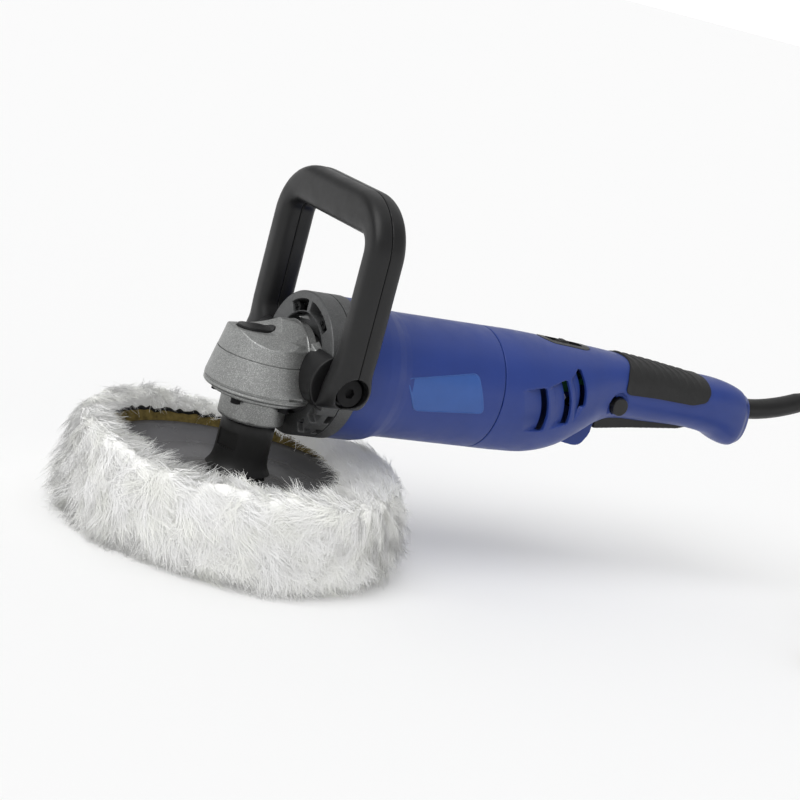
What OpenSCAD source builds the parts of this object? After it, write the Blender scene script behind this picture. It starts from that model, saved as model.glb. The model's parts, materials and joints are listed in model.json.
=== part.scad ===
// Rotary polisher with a wool pad, a loop handle and a mains cord.
// +Z is the spindle axis, +X runs from the spindle to the rear handle, and z = 0 is the pad's working face.

/* [Head] */
// Height of the motor axis above the pad's working face
axis_z = 118; // [112:1:124]
// Radius of the gear head's lower rim
head_r = 34.8; // [33:0.2:37]
// Top of the gear head
head_top = 136; // [134:1:139]
// Outer radius of the gear case flange
flange_r = 46; // [44:0.5:48]
// Front face of the flange
flange_x = 22; // [22:0.5:24]
// Rear face of the flange
flange_end = 36; // [34:0.5:38]
// Radius of the bearing cap
cap_r = 21.2; // [20:0.2:22]

/* [Motor] */
// Radius of the motor housing
motor_r = 41; // [40:0.5:43]
// Front end of the motor housing
motor_start = 46; // [44:1:48]
// Rear end of the motor housing
motor_end = 157; // [150:1:165]
// Radius of the armature core
armature_r = 22.2; // [20:0.2:23]

/* [Gears] */
// Teeth on the pinion
pinion_teeth = 10; // [10:1:10]
// Teeth on the ring gear
gear_teeth = 40; // [40:1:40]
// Pitch radius of the ring gear
gear_pitch_r = 24; // [24:1:24]

/* [Pad] */
// Outer radius of the wool pad
wool_r = 109; // [100:1:115]
// Highest point of the wool
wool_top = 58; // [54:1:62]
// Radius of the backing plate
plate_r = 86; // [80:1:90]
// Radius of the hub
hub_r = 17.3; // [16:0.1:19]
// Lobes on the hub's base
hub_lobes = 6; // [6:1:10]

/* [Loop handle] */
// Half of the handle's outer width
loop_half_w = 69; // [66:1:72]
// Half of the opening's width
loop_half_in = 51.6; // [50:0.2:54]
// Top of the handle
loop_top = 239; // [230:1:250]
// Thickness of the top bar
loop_bar = 26.5; // [24:0.5:30]
// Depth of the handle along the body
loop_depth = 24.5; // [22:0.5:28]
// Place of the handle along the body
loop_x = 28.5; // [28:0.5:29]

/* [Rear handle] */
// Wall of the plastic shells
wall = 2.6; // [2:0.2:3]
// Height of the rubber grip over the shell
grip_proud = 0.9; // [0.5:0.1:1.2]

/* [Cord] */
// Diameter of the cord
cord_d = 8; // [7:0.5:9]
// Diameter of the cord sleeve
sleeve_d = 14.6; // [13:0.2:15]
// Outer radius of the stored coil
coil_r = 54; // [52:1:56]

/* [Hidden] */
$fn = 96;
eps = 0.02;
fit = 0.05;

// Rings of points skinned into a closed solid with flat ends. Each ring turns right-handed about the way it goes.
function flat(lists) = [for (l = lists) each l];
function reversed(list) = [for (i = [len(list) - 1:-1:0]) list[i]];
module skin(rings) {
    n = len(rings[0]);
    m = len(rings);
    sides = [for (i = [0:m - 2]) for (j = [0:n - 1])
        [i * n + j, i * n + (j + 1) % n, (i + 1) * n + (j + 1) % n, (i + 1) * n + j]];
    tris = flat([for (q = sides) [[q[0], q[2], q[1]], [q[0], q[3], q[2]]]]);
    start = [for (j = [0:n - 1]) j];
    end = [for (j = [0:n - 1]) m * n - 1 - j];
    polyhedron(points = flat(rings), faces = concat(tris, [start, end]), convexity = 8);
}

// A round tube swept along points, with the ring's first direction kept level.
function unit(v) = v / norm(v);
function tangent(p, i) = unit(p[min(i + 1, len(p) - 1)] - p[max(i - 1, 0)]);
function side_of(t) = abs(t[2]) > 0.97 ? unit(cross([0, 1, 0], t)) : unit(cross([0, 0, 1], t));
function ring_at(p, i, r, sides) =
    let (t = tangent(p, i), a = side_of(t), b = cross(t, a))
    [for (k = [0:sides - 1]) p[i] + r * (cos(360 * k / sides) * a + sin(360 * k / sides) * b)];
module sweep(p, radii, sides) {
    skin([for (i = [0:len(p) - 1]) ring_at(p, i, radii[i], sides)]);
}
function same(r, p) = [for (q = p) r];

// Smooth values between hand-chosen stations.
function slope(s, i, k) = i == 0 || i == len(s) - 1 ? 0
    : (s[i + 1][k] - s[i - 1][k]) / (s[i + 1][0] - s[i - 1][0]);
function span_of(s, x, i = 0) = i >= len(s) - 2 || x <= s[i + 1][0] ? i : span_of(s, x, i + 1);
function smooth_at(s, x, k) =
    let (i = span_of(s, x), h = s[i + 1][0] - s[i][0], t = (x - s[i][0]) / h)
    s[i][k] * (1 + 2 * t) * (1 - t) * (1 - t) + slope(s, i, k) * h * t * (1 - t) * (1 - t)
    + s[i + 1][k] * t * t * (3 - 2 * t) + slope(s, i + 1, k) * h * t * t * (t - 1);

// Parts that turn about the motor axis are drawn upright and laid along +X.
module along_x(x = 0, z = axis_z) {
    translate([x, 0, z]) rotate([0, 90, 0]) children();
}
module tube_x(x0, x1, outer, inner) {
    along_x(x0) difference() {
        cylinder(r = outer, h = x1 - x0);
        translate([0, 0, -1]) cylinder(r = inner, h = x1 - x0 + 2);
    }
}
module turned_x(profile) {
    along_x() rotate_extrude() polygon(profile);
}
module tube_z(z0, z1, outer, inner) {
    translate([0, 0, z0]) difference() {
        cylinder(r = outer, h = z1 - z0);
        translate([0, 0, -1]) cylinder(r = inner, h = z1 - z0 + 2);
    }
}

// A ball bearing: two races and a shielded ball ring, joined as bought.
module ball_bearing(bore, outer, width) {
    gap = 0.5;
    rotate_extrude() polygon([[bore, 0], [bore + 2.2, 0], [bore + 2.2, gap], [outer - 2.2, gap],
        [outer - 2.2, 0], [outer, 0], [outer, width], [outer - 2.2, width],
        [outer - 2.2, width - gap], [bore + 2.2, width - gap], [bore + 2.2, width], [bore, width]]);
}
module pan_screw(head_r, head_h, shank_r, length) {
    difference() {
        union() {
            cylinder(r = head_r, h = head_h, $fn = 32);
            translate([0, 0, -length]) cylinder(r = shank_r, h = length, $fn = 24);
        }
        for (a = [0, 90]) rotate(a) translate([-head_r * 0.6, -0.5, head_h - 1])
            cube([head_r * 1.2, 1, 2]);
    }
}
// A wire spring along +Z, starting at the origin.
module coil_spring(radius, wire, length, turns, sides = 6) {
    steps = turns * 9;
    path = [for (i = [0:steps]) [radius * cos(40 * i), radius * sin(40 * i),
        wire + (length - 2 * wire) * i / steps]];
    sweep(path, same(wire, path), sides);
}

// ---- Gear head ----
cap_screw_angles = [215, 145, 70, -70];
cap_screw_r = 25;
lock_x = -11.5;
button_top = head_top + 1.6;
boss_x = loop_x;
vent_angles = [for (a = [-150:30:150]) if (abs(cos(a)) > 0.45) a];
case_screw_angles = [30, 150, 210, 330];
case_screw_r = 36;
bolt_r = 4;

module oval(length, width, h) {
    offset_x = (length - width) / 2;
    for (s = [-1, 1]) translate([s * offset_x, 0, 0]) cylinder(r = width / 2, h = h);
    translate([-offset_x, -width / 2, 0]) cube([2 * offset_x, width, h]);
}
module gear_case() color("silver") difference() {
    union() {
        rotate_extrude() polygon([[0, 97], [head_r - 1, 97], [head_r, 98.5], [head_r, 102],
            [31, 120], [30.2, 120.6], [30.2, 122], [27.2, 131.5], [25, 133.8], [20, 135.4], [0, head_top]]);
        difference() {
            turned_x([[0, -9], [18, -9], [25.5, -2], [27, 1], [27, 8], [28.5, 13], [32, 18],
                [38, flange_x], [flange_r, flange_x], [flange_r, flange_end], [0, flange_end]]);
            translate([-60, -60, 40]) cube([60 + flange_x, 120, 57]);
        }
        intersection() {
            translate([boss_x, 0, axis_z]) rotate([90, 0, 0])
                cylinder(r = 17, h = 2 * (flange_r + 0.4), center = true);
            translate([0, -60, axis_z - 30]) cube([flange_end, 120, 60]);
        }
    }
    // gear chamber with the upper bearing's boss left standing
    difference() {
        translate([0, 0, 90]) cylinder(r = 26.6, h = 32);
        translate([0, 0, 116]) cylinder(r = 9, h = 10);
    }
    translate([0, 0, 110]) cylinder(r = 6 + fit, h = 16.5);
    // tunnel for the pinion and seat for the bearing shield's hub
    along_x(9) cylinder(r = 12, h = 30);
    along_x(29.4) cylinder(r = 18.1, h = 10);
    // lock button: recess, spring pocket and pin bore
    translate([lock_x, 0, 129]) oval(24.6, 16.6, 12);
    translate([lock_x, 0, 124]) cylinder(r = 3.8, h = 6, $fn = 32);
    translate([lock_x, 0, 100]) cylinder(r = 2.06, h = 30, $fn = 32);
    // air outlet: an annular passage and its slots
    difference() {
        along_x(26) cylinder(r = 41, h = 12);
        along_x(25) cylinder(r = 30.6, h = 14);
        for (s = [-1, 1]) translate([boss_x, s * 40, axis_z]) rotate([90, 0, 0])
            cylinder(r = 13, h = 24, center = true);
        for (a = case_screw_angles) along_x(20) rotate(a) translate([case_screw_r, 0, 0])
            cylinder(r = 5.4, h = 20, $fn = 32);
    }
    for (a = vent_angles) along_x(flange_x - 6) rotate(a + 180) translate([31, -5.5, 0])
        cube([9.5, 11, 12]);
    // bolts of the loop handle
    for (s = [-1, 1]) translate([boss_x, s * 39, axis_z]) rotate([90, 0, 0])
        cylinder(r = bolt_r + fit, h = 18, center = true, $fn = 48);
    for (a = case_screw_angles) along_x(flange_x - 2) rotate(a) translate([case_screw_r, 0, 0]) {
        cylinder(r = 4.3, h = 7, $fn = 32);
        cylinder(r = 2.3, h = 20, $fn = 24);
    }
    for (a = cap_screw_angles) rotate(a) translate([cap_screw_r, 0, 94])
        cylinder(r = 1.85, h = 12, $fn = 24);
}
module bearing_cap() color("gainsboro") difference() {
    union() {
        rotate_extrude() polygon([[0, 78], [cap_r - 1.2, 78], [cap_r, 79], [cap_r, 94],
            [29, 94], [29, 97], [0, 97]]);
        translate([0, 0, 96]) cylinder(r = 26.5, h = 2.5);
    }
    translate([0, 0, 83]) cylinder(r = 16 + fit, h = 20);
    translate([0, 0, 70]) cylinder(r = 11, h = 20);
    translate([flange_x - 0.1, -40, 70]) cube([40, 80, 40]);
    for (a = cap_screw_angles) rotate(a) translate([cap_screw_r, 0, 90])
        cylinder(r = 2, h = 12, $fn = 24);
    for (a = [0:60:300]) rotate(a) translate([cap_r, 0, 77]) cylinder(r = 2, h = 2.4, $fn = 24);
}
module cap_screws() color("dimgray") for (a = cap_screw_angles)
    rotate(a) translate([cap_screw_r, 0, 94]) rotate([180, 0, 0]) pan_screw(3.2, 3.4, 1.8, 11);
module spindle_seal() color("black") tube_z(78.6, 82.9, 10.95, 6.3);
module lower_bearing() color("lightsteelblue") translate([0, 0, 84]) ball_bearing(6, 16, 10);
module upper_bearing() color("lightsteelblue") tube_z(117, 126, 6, 4);
module lock_button() color("#202020") union() {
    translate([lock_x, 0, 132.4]) oval(24, 16, button_top - 132.4);
    translate([lock_x, 0, 110.5]) cylinder(r = 2, h = 25, $fn = 32);
}
module lock_spring() color("silver") translate([lock_x, 0, 124.1]) coil_spring(3.1, 0.35, 8.2, 5);

// ---- Bearing shield and motor ----
module bearing_shield() color("#8c8c8c") difference() {
    union() {
        tube_x(flange_end, motor_start, flange_r, 42);
        tube_x(flange_end, flange_end + 4, flange_r, 10);
        tube_x(29.5, 44, 18, 10);
    }
    along_x(33.9) cylinder(r = 14 + fit, h = 8.1);
    along_x(20) cylinder(r = 9, h = 40);
    for (a = [0:30:330]) if (abs(cos(a)) > 0.45 || abs(sin(a)) > 0.9) along_x(30) rotate(a)
        translate([31, -5.5, 0]) cube([9.5, 11, 14]);
    for (a = case_screw_angles) along_x(30) rotate(a) translate([case_screw_r, 0, 0])
        cylinder(r = 2.4, h = 20, $fn = 24);
}
module case_screws() color("dimgray") for (a = case_screw_angles)
    along_x(flange_x + 5) rotate(a) translate([case_screw_r, 0, 0]) rotate([180, 0, 0])
        pan_screw(4, 3, 2.2, 24);
module front_bearing() color("lightsteelblue") along_x(34) ball_bearing(6, 14, 8);
module rear_bearing() color("lightsteelblue") along_x(148.5) ball_bearing(4, 11, 7);

shoulder_r = 45.4;
module motor_housing() color("#27407f") difference() {
    turned_x([[0, motor_start], [shoulder_r, motor_start], [shoulder_r, 66], [44.6, 72],
        [42.3, 78], [41.3, 82], [motor_r, 87], [motor_r, motor_end], [0, motor_end]]);
    // fan chamber, stator seat and brush chamber
    turned_x([[0, 40], [41.6, 40], [41.6, 65], [36.4, 69], [36.4, 118], [38.2, 119], [38.2, 153],
        [14, 153], [14, 148], [0, 148]]);
    along_x(147) cylinder(r = 11 + fit, h = 9);
    along_x(150) cylinder(r = 6, h = 10);
    for (a = [0:45:315]) along_x(150) rotate(a + 22.5) translate([18, -6, 0]) cube([16, 12, 10]);
    label_zone(motor_r - 0.4, 4);
}
// The label is a shallow inlay on the near side, and its edges slope a little.
module label_zone(inner, thickness) {
    intersection() {
        tube_x(60, 150, inner + thickness, inner);
        translate([0, 0, axis_z]) rotate([90, 0, 0]) linear_extrude(60)
            polygon([[80, 9], [135, 18], [145, -8], [91.5, -12]]);
    }
}
module label_panel() color("#4263a8") label_zone(motor_r - 0.38, 0.8);
module stator_core() color("#70757a") difference() {
    tube_x(72, 116, 36.3, 23);
    for (a = [45:90:315]) along_x(60) rotate(a) translate([27.5, -3, 0]) cube([5, 6, 70]);
}
module field_coils() color("#b5622d") union() {
    tube_x(66, 71.9, 33, 24.5);
    tube_x(116.1, 121, 33, 24.5);
}
brush_x = 131;
brush_z = axis_z;
module each_side() for (s = [0, 1]) mirror([0, s, 0]) children();
module brush_holders() color("#b79a4d") each_side() difference() {
    translate([brush_x - 6, 15, brush_z - 6]) cube([12, 21, 12]);
    translate([brush_x - 4, 10, brush_z - 3.2]) cube([8, 24.5, 6.4]);
}
module carbon_brushes() color("#303030") each_side()
    translate([brush_x - 3.9, 13.08, brush_z - 3.1]) cube([7.8, 11.9, 6.2]);
module brush_springs() color("silver") each_side()
    translate([brush_x, 25, brush_z]) rotate([-90, 0, 0]) coil_spring(2.4, 0.3, 9.4, 5);

// ---- Rotor ----
module armature_shaft() color("#9aa0a6") turned_x([[0, 15.9], [2.6, 15.9], [2.6, 31], [6 - fit, 31], [6 - fit, 60],
    [5, 60], [5, 145], [4 - fit, 145], [4 - fit, 155.4], [0, 155.4]]);
module armature_core() color("#5f6468") difference() {
    tube_x(74, 114, armature_r, 5);
    for (a = [0:30:330]) along_x(70) rotate(a) translate([armature_r - 4, -1, 0]) cube([6, 2, 50]);
}
module armature_windings() color("#b5622d") union() {
    tube_x(66.5, 74, 18.6, 5);
    tube_x(114, 121.5, 18.6, 5);
}
module commutator() color("#c07a4a") difference() {
    tube_x(121.5, 140, 13, 5);
    for (a = [0:15:345]) along_x(123) rotate(a) translate([12.3, -0.25, 0]) cube([2, 0.5, 20]);
}
module cooling_fan() color("#353535") union() {
    tube_x(49, 62, 10, 6 - fit);
    tube_x(60, 62, 34, 6 - fit);
    for (a = [0:30:330]) along_x(50) rotate(a) translate([9, -0.8, 0]) cube([23, 1.6, 11]);
}

// ---- Bevel gears: their pitch cones meet where the two axes cross ----
pinion_pitch_r = gear_pitch_r * pinion_teeth / gear_teeth;
cone_len = norm([gear_pitch_r, pinion_pitch_r]);
upward = [pinion_pitch_r, gear_pitch_r] / cone_len;
inner_scale = 0.66;
flank = tan(22);
// A tooth in axial coordinates: cone point plus a depth along the normal, at a half width.
function tooth_ring(at, normal, root, tip, half, scale) = [
    for (c = [[-root, -1], [tip, -1], [tip, 1], [-root, 1]])
        let (p = (at + normal * c[0]) * scale, w = (half - c[0] * flank) * scale * c[1],
            a = w / (at[0] * scale) * 180 / PI)
        [p[0] * cos(a), p[0] * sin(a), p[1]]];
module bevel_tooth(at, normal, root, tip, half) {
    rings = [for (scale = [inner_scale, 1]) tooth_ring(at, normal, root, tip, half, scale)];
    skin(at[0] > at[1] ? [for (r = rings) reversed(r)] : rings);
}
gear_root = 1.35;
gear_tip = 0.8;
pinion_root = 1.1;
pinion_tip = 1.05;
module ring_gear() color("#8f9499") {
    outer_root = [gear_pitch_r, -pinion_pitch_r] - upward * (gear_root - 0.1);
    inner_root = outer_root * inner_scale;
    translate([0, 0, axis_z]) {
        for (k = [0:gear_teeth - 1]) rotate(360 * k / gear_teeth)
            bevel_tooth([gear_pitch_r, -pinion_pitch_r], upward, gear_root, gear_tip, 0.70);
        difference() {
            rotate_extrude() polygon([[0, -16], [outer_root[0] - 1, -16], [outer_root[0] - 0.3, -10],
                outer_root, inner_root, [15, -9.5], [0, -9.5]]);
            translate([0, 0, -20]) cylinder(r = 6 + eps, h = 20);
            for (a = [0:45:315]) rotate(a) translate([lock_x, 0, -20]) cylinder(r = 2.3, h = 20, $fn = 32);
        }
    }
}
module pinion() color("#a5aaae") {
    outer_root = [pinion_pitch_r, gear_pitch_r] - [upward[1], -upward[0]] * (pinion_root - 0.1);
    inner_root = outer_root * inner_scale;
    along_x() difference() {
        union() {
            for (k = [0:pinion_teeth - 1]) rotate(360 * (k + 0.5) / pinion_teeth)
                bevel_tooth([pinion_pitch_r, gear_pitch_r], [upward[1], -upward[0]],
                    pinion_root, pinion_tip, 0.74);
            rotate_extrude() polygon([[0, inner_root[1]], inner_root, outer_root, [7, outer_root[1] + 0.6],
                [7, 30.9], [0, 30.9]]);
        }
        translate([0, 0, 10]) cylinder(r = 2.6 + eps, h = 30);
    }
}
module spindle() color("#9aa0a6") rotate_extrude() polygon([[0, 56], [6.9, 56],
    [6.9, 77.4], [6 - fit, 78.4], [6 - fit, 112.8], [4 - fit, 112.8], [4 - fit, 125.6], [0, 125.6]]);
module gear_nut() color("#9aa0a6") translate([0, 0, 108.6]) difference() {
    cylinder(r = 7.6, h = 4, $fn = 6);
    translate([0, 0, -1]) cylinder(r = 6 + eps, h = 6);
}

// ---- Hub, backing plate and wool pad ----
plate_low = 34;
hub_low = plate_low + 2.6;
lobe_r = 18.6;
lobe_gap = 3;
module hub() color("#1c1c1c") difference() {
    rotate_extrude() polygon([[0, hub_low], [lobe_r - 0.6, hub_low], [lobe_r, hub_low + 0.6], [lobe_r, 44.8],
        [lobe_r + 2.4, 45.2], [lobe_r + 2.4, 46.4], [lobe_r + 0.2, 48.8], [hub_r + 0.4, 52], [hub_r, 55],
        [hub_r, 77], [0, 77]]);
    for (k = [0:hub_lobes - 1]) rotate((k + 0.75) * 360 / hub_lobes)
        translate([15.6, -lobe_gap / 2, hub_low - 1]) cube([12, lobe_gap, 8.2]);
    translate([0, 0, 55.9]) cylinder(r = 6.95, h = 30);
}
module backing_plate() color("#56565a") rotate_extrude() polygon([[0, plate_low], [plate_r - 2, plate_low],
    [plate_r + 1, 39], [plate_r, 46], [plate_r - 3, 45.8], [62, plate_low + 6], [40, hub_low], [0, hub_low]]);
module foam_disc() color("#b69a44") rotate_extrude() polygon([[0, 28], [88, 28], [91.5, 33], [91.5, 51],
    [88.4, 52], [plate_r + 1.4, 46], [plate_r + 1.4, 38.6], [plate_r - 1.6, plate_low - 0.02],
    [0, plate_low - 0.02]]);
module wool_pad() color("#e6e6e0") rotate_extrude() polygon([[0, 0], [82, 0], [98, 5], [wool_r - 2, 18],
    [wool_r, 32], [wool_r - 3, 46], [101, wool_top - 2], [97, wool_top], [93.5, 55], [91.8, 50],
    [91.8, 32.8], [88.2, 27.9], [0, 27.9]]);

// ---- Loop handle: two moulded halves that meet across the body ----
loop_low = 104;
outer_bend = 38;
inner_bend = 8;
toe = 20;
// Each station is an inner and an outer point, as [across, up].
function step01(t) = let (u = min(max(t, 0), 1)) u * u * (3 - 2 * u);
function leg_in(z) = flange_r + 0.8 + (loop_half_in - flange_r - 0.8) * step01((z - 130) / 14);
function leg_out(z) = let (d = max(0, toe - (z - loop_low))) loop_half_w - toe + sqrt(toe * toe - d * d);
leg_heights = [loop_low + 0.6, 106, 108.5, 112, 116, 120, 125, 130, 134, 138, 144, 160, 180];
bend_steps = [0:15:90];
in_top = loop_top - loop_bar;
half_path = concat(
    [for (z = leg_heights) [[leg_in(z), z], [leg_out(z), z]]],
    [for (a = bend_steps) [
        [loop_half_in - inner_bend + inner_bend * cos(a), in_top - inner_bend + inner_bend * sin(a)],
        [loop_half_w - outer_bend + outer_bend * cos(a), loop_top - outer_bend + outer_bend * sin(a)]]]);
loop_path = concat(half_path,
    [for (i = [len(half_path) - 1:-1:0]) [for (p = half_path[i]) [-p[0], p[1]]]]);
// Half of a rounded bar: sign +1 is the rear half. The boss at the leg's foot is deeper.
function foot_depth(z) = loop_depth / 2 + 5.5 * (1 - step01((z - 124) / 22));
function loop_ring(s, sign) = let (mid = (s[0] + s[1]) / 2, half = (s[1] - s[0]) / 2, deep = foot_depth(mid[1]))
    [for (a = [0:15:180]) let (c = cos(a), q = sin(a),
        u = (c < 0 ? -1 : 1) * pow(abs(c), 0.55), v = pow(abs(q), 0.55))
        [loop_x + sign * (0.03 + deep * v), mid[0] + half[0] * u, mid[1] + half[1] * u]];
module loop_half(sign) difference() {
    intersection() {
        skin([for (s = loop_path) sign < 0 ? loop_ring(s, sign) : reversed(loop_ring(s, sign))]);
        translate([-20, -100, 60]) cube([80, 200, 220]);
    }
    for (s = [-1, 1]) translate([loop_x, s * (loop_half_w + 2), axis_z]) rotate([s * 90, 0, 0]) {
        cylinder(r = 10.5, h = 14.5, $fn = 48);
        cylinder(r = bolt_r + 0.3, h = 40, $fn = 36);
    }
}
module loop_handle_front() color("#1b1b1b") loop_half(-1);
module loop_handle_rear() color("#1b1b1b") loop_half(1);
module loop_bolts() color("#3a3a3a") for (s = [-1, 1])
    translate([loop_x, s * (loop_half_w - 12.48), axis_z]) rotate([-s * 90, 0, 0]) difference() {
        union() {
            cylinder(r = 8.5, h = 6, $fn = 48);
            translate([0, 0, -24]) cylinder(r = bolt_r, h = 25, $fn = 48);
        }
        translate([0, 0, 3]) cylinder(r = 3.4, h = 4, $fn = 6);
    }

// ---- Rear handle: stations are [x, underside, top, half width, roundness] ----
stations = [
    [157, axis_z - motor_r, axis_z + motor_r, motor_r, 1.00],
    [180, 77.2, 159.0, 41.0, 0.98],
    [203, 78.5, 158.2, 39.5, 0.96],
    [222, 84.0, 157.2, 36.0, 0.93],
    [238, 93.5, 156.2, 31.5, 0.90],
    [252, 103.0, 155.4, 27.0, 0.86],
    [268, 109.3, 154.2, 23.6, 0.80],
    [300, 110.3, 151.6, 21.8, 0.76],
    [335, 110.0, 148.0, 21.0, 0.76],
    [360, 107.0, 147.0, 20.2, 0.78],
    [374, 101.8, 145.0, 18.8, 0.80],
    [385, 99.8, 141.8, 16.4, 0.84],
    [391.5, 101.4, 138.4, 13.0, 0.88],
    [394.4, 106.5, 134.0, 9.0, 0.90]];
shell_x = [157.1, 166, 176, 186, 195, 203, 212, 221, 230, 238, 246, 254, 262, 272, 286, 302, 320, 338,
    352, 362, 370, 376, 382, 387, 391.5, 393.4, 394.4];
function section(x, grow, from, to, steps, least = -1000) =
    let (low = smooth_at(stations, x, 1) - grow, high = smooth_at(stations, x, 2) + grow,
        w = smooth_at(stations, x, 3) + grow, e = smooth_at(stations, x, 4),
        mid = (low + high) / 2, h = (high - low) / 2)
    [for (i = [0:steps]) let (a = from + (to - from) * i / steps, c = cos(a), s = sin(a))
        [x, max(least, w * (c < 0 ? -1 : 1) * pow(abs(c), e)), mid + h * (s < 0 ? -1 : 1) * pow(abs(s), e)]];
// Half of the handle's body on the +Y side, and the whole of it, grown or shrunk all round.
module body_half(grow, xs) {
    skin([for (x = xs) section(x, grow, -90, 90, 22, 0.03)]);
}
module body_whole(grow, xs) {
    skin([for (x = xs) section(x, grow, -90, 262, 44)]);
}
guard = [[228, 92], [234, 89], [247, 87.6], [253, 88.6], [258.4, 97], [259, 116], [238, 116]];
grip_outline = [[258, 172], [262, 152], [267, 146], [268, 136], [266, 133], [270, 131.6], [296, 131.4],
    [330, 130], [342, 133], [345.5, 140], [344, 150], [340, 172]];
trigger_pivot = [338, 113.6];
module side_prism(outline, width) {
    rotate([90, 0, 0]) translate([0, 0, -width / 2]) linear_extrude(width) polygon(outline);
}
// Half width of the handle's body at a height.
function skin_y(x, z) =
    let (low = smooth_at(stations, x, 1), high = smooth_at(stations, x, 2), w = smooth_at(stations, x, 3),
        e = smooth_at(stations, x, 4), s = min(1, abs(z - (low + high) / 2) / ((high - low) / 2)))
    w * pow(cos(asin(pow(s, 1 / e))), e);
// Each louvre: front corners and rear corners, lower one first, as [x, z].
louvres = [
    [[181, 100.8], [171, 128.6], [197, 102.5], [190.5, 131.7]],
    [[201, 104.5], [191.8, 132.0], [216.5, 109.0], [208.5, 138.0]],
    [[221, 110.8], [211, 138.0], [228, 122.0], [221.5, 145.5]]];
lock_on = [265, 122.6];
screw_posts = [[190, 86], [232, 150], [249, 113], [352, 112], [384, 108]];
module handle_half(side) mirror([0, side, 0]) difference() {
    union() {
        body_half(0, shell_x);
        intersection() {
            side_prism(guard, 19);
            translate([200, 0.03, 60]) cube([100, 30, 80]);
        }
    }
    difference() {
        translate([0, -0.5, 0]) body_half(-wall, concat([150], [for (x = shell_x) if (x < 389) x], [389.5]));
        for (p = screw_posts) hull() {
            translate([p[0], 0.03, p[1]]) rotate([-90, 0, 0]) cylinder(r = 3.4, h = 60, $fn = 16);
            translate([p[0] + 1, 0.03, p[1]]) rotate([-90, 0, 0]) cylinder(r = 3.4, h = 60, $fn = 16);
        }
    }
    // rubber grip's seat
    difference() {
        side_prism(grip_outline, 80);
        body_half(-1, shell_x);
        translate([200, -40, 60]) cube([200, 40.04, 120]);
    }
    for (v = louvres) hull() {
        for (p = [v[0], v[1]]) translate([p[0], skin_y(p[0], p[1]), p[1]]) cube([0.1, 8, 0.1]);
        for (p = [v[2], v[3]]) translate([p[0] - 3.5, skin_y(p[0], p[1]) - 4.5, p[1]]) cube([3.5, 12, 0.1]);
    }
    // trigger slot, dial window, lock-on bore, cord sleeve and screws
    translate([259.4, -1, 90]) cube([84, 9.6, 24]);
    bezel_zone(0.15);
    translate([lock_on[0], -1, lock_on[1]]) rotate([-90, 0, 0]) cylinder(r = 6.4, h = 50, $fn = 32);
    along_x(385, 127.8) cylinder(r = sleeve_d / 2 + 0.1, h = 30, $fn = 48);
    translate([trigger_pivot[0], -1, trigger_pivot[1]]) rotate([-90, 0, 0]) cylinder(r = 1.55, h = 12.1, $fn = 24);
    for (p = screw_posts) translate([p[0], 0, p[1]]) rotate([-90, 0, 0]) cylinder(r = 1.7, h = 14, $fn = 16);
    if (side == 0) for (p = screw_posts) translate([p[0], 10, p[1]]) rotate([-90, 0, 0])
        cylinder(r = 3.3, h = 60, $fn = 20);
}
module handle_shell_left() color("#27407f") handle_half(1);
module handle_shell_right() color("#27407f") handle_half(0);
module shell_screws() color("dimgray") for (p = screw_posts)
    translate([p[0], 10.03, p[1]]) rotate([-90, 0, 0]) pan_screw(3.1, 2.4, 1.6, 20);
module grip_half(side) mirror([0, side, 0]) intersection() {
    side_prism(grip_outline, 80);
    difference() {
        body_half(grip_proud, [for (x = shell_x) if (x > 240 && x < 360) x]);
        body_half(-0.97, [for (x = shell_x) if (x > 225 && x < 375) x]);
        translate([200, -40, 60]) cube([200, 40.1, 90]);
    }
    translate([200, 0.05, 60]) cube([200, 60, 120]);
}
module grip_left() color("#242424") grip_half(1);
module grip_right() color("#242424") grip_half(0);
dial_at = [220.5, 151.6];
// The bezel is a long oval window in the top of the handle.
module bezel_zone(grow) {
    translate([221.5, 0, 145]) oval(42 + 2 * grow, 20 + 2 * grow, 30);
}
module dial_bezel() color("#2a2a2a") difference() {
    intersection() {
        body_whole(0.3, [for (x = shell_x) if (x > 190 && x < 260) x]);
        bezel_zone(0);
    }
    body_whole(-2.2, [for (x = shell_x) if (x > 180 && x < 270) x]);
    translate([212, -3.6, 140]) cube([17, 7.2, 30]);
}
module speed_dial() color("#303030") translate([dial_at[0], 0, dial_at[1]]) rotate([90, 0, 0]) difference() {
    cylinder(r = 7, h = 6, center = true, $fn = 48);
    cylinder(r = 1.5, h = 8, center = true, $fn = 24);
    for (a = [0:20:340]) rotate(a) translate([7.2, 0, 0]) cylinder(r = 0.6, h = 8, center = true, $fn = 12);
}
module speed_module() color("#2f5d3a") union() {
    translate([205, -14, 132]) cube([40, 28, 4]);
    translate([212, -10, 125]) cube([20, 20, 7.5]);
    translate([dial_at[0], 0, dial_at[1]]) rotate([90, 0, 0]) cylinder(r = 1.4, h = 11, center = true, $fn = 24);
    for (s = [-1, 1]) translate([dial_at[0] - 2, s * 4.8 - 0.75, 135.5]) cube([4, 1.5, 17.5]);
}
module switch_body() color("#222222") union() {
    translate([286, -9, 122]) cube([44, 18, 18]);
    translate([300, -3, 118.5]) cube([8, 6, 5]);
}
module trigger() color("#1e1e1e") difference() {
    side_prism([[260.4, 101.0], [290, 104.4], [334, 108.4], [341, 110.4], [342, 114.5], [338.5, 117.5],
        [300, 115], [262, 112.5], [260.4, 111]], 16.6);
    translate([trigger_pivot[0], 0, trigger_pivot[1]]) rotate([90, 0, 0])
        cylinder(r = 1.55, h = 30, center = true, $fn = 24);
}
module trigger_pin() color("silver") translate([trigger_pivot[0], 0, trigger_pivot[1]]) rotate([90, 0, 0])
    cylinder(r = 1.5, h = 22, center = true, $fn = 24);
module trigger_spring() color("silver") translate([291, 0, 114.55]) coil_spring(2.6, 0.4, 7.4, 4);
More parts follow.
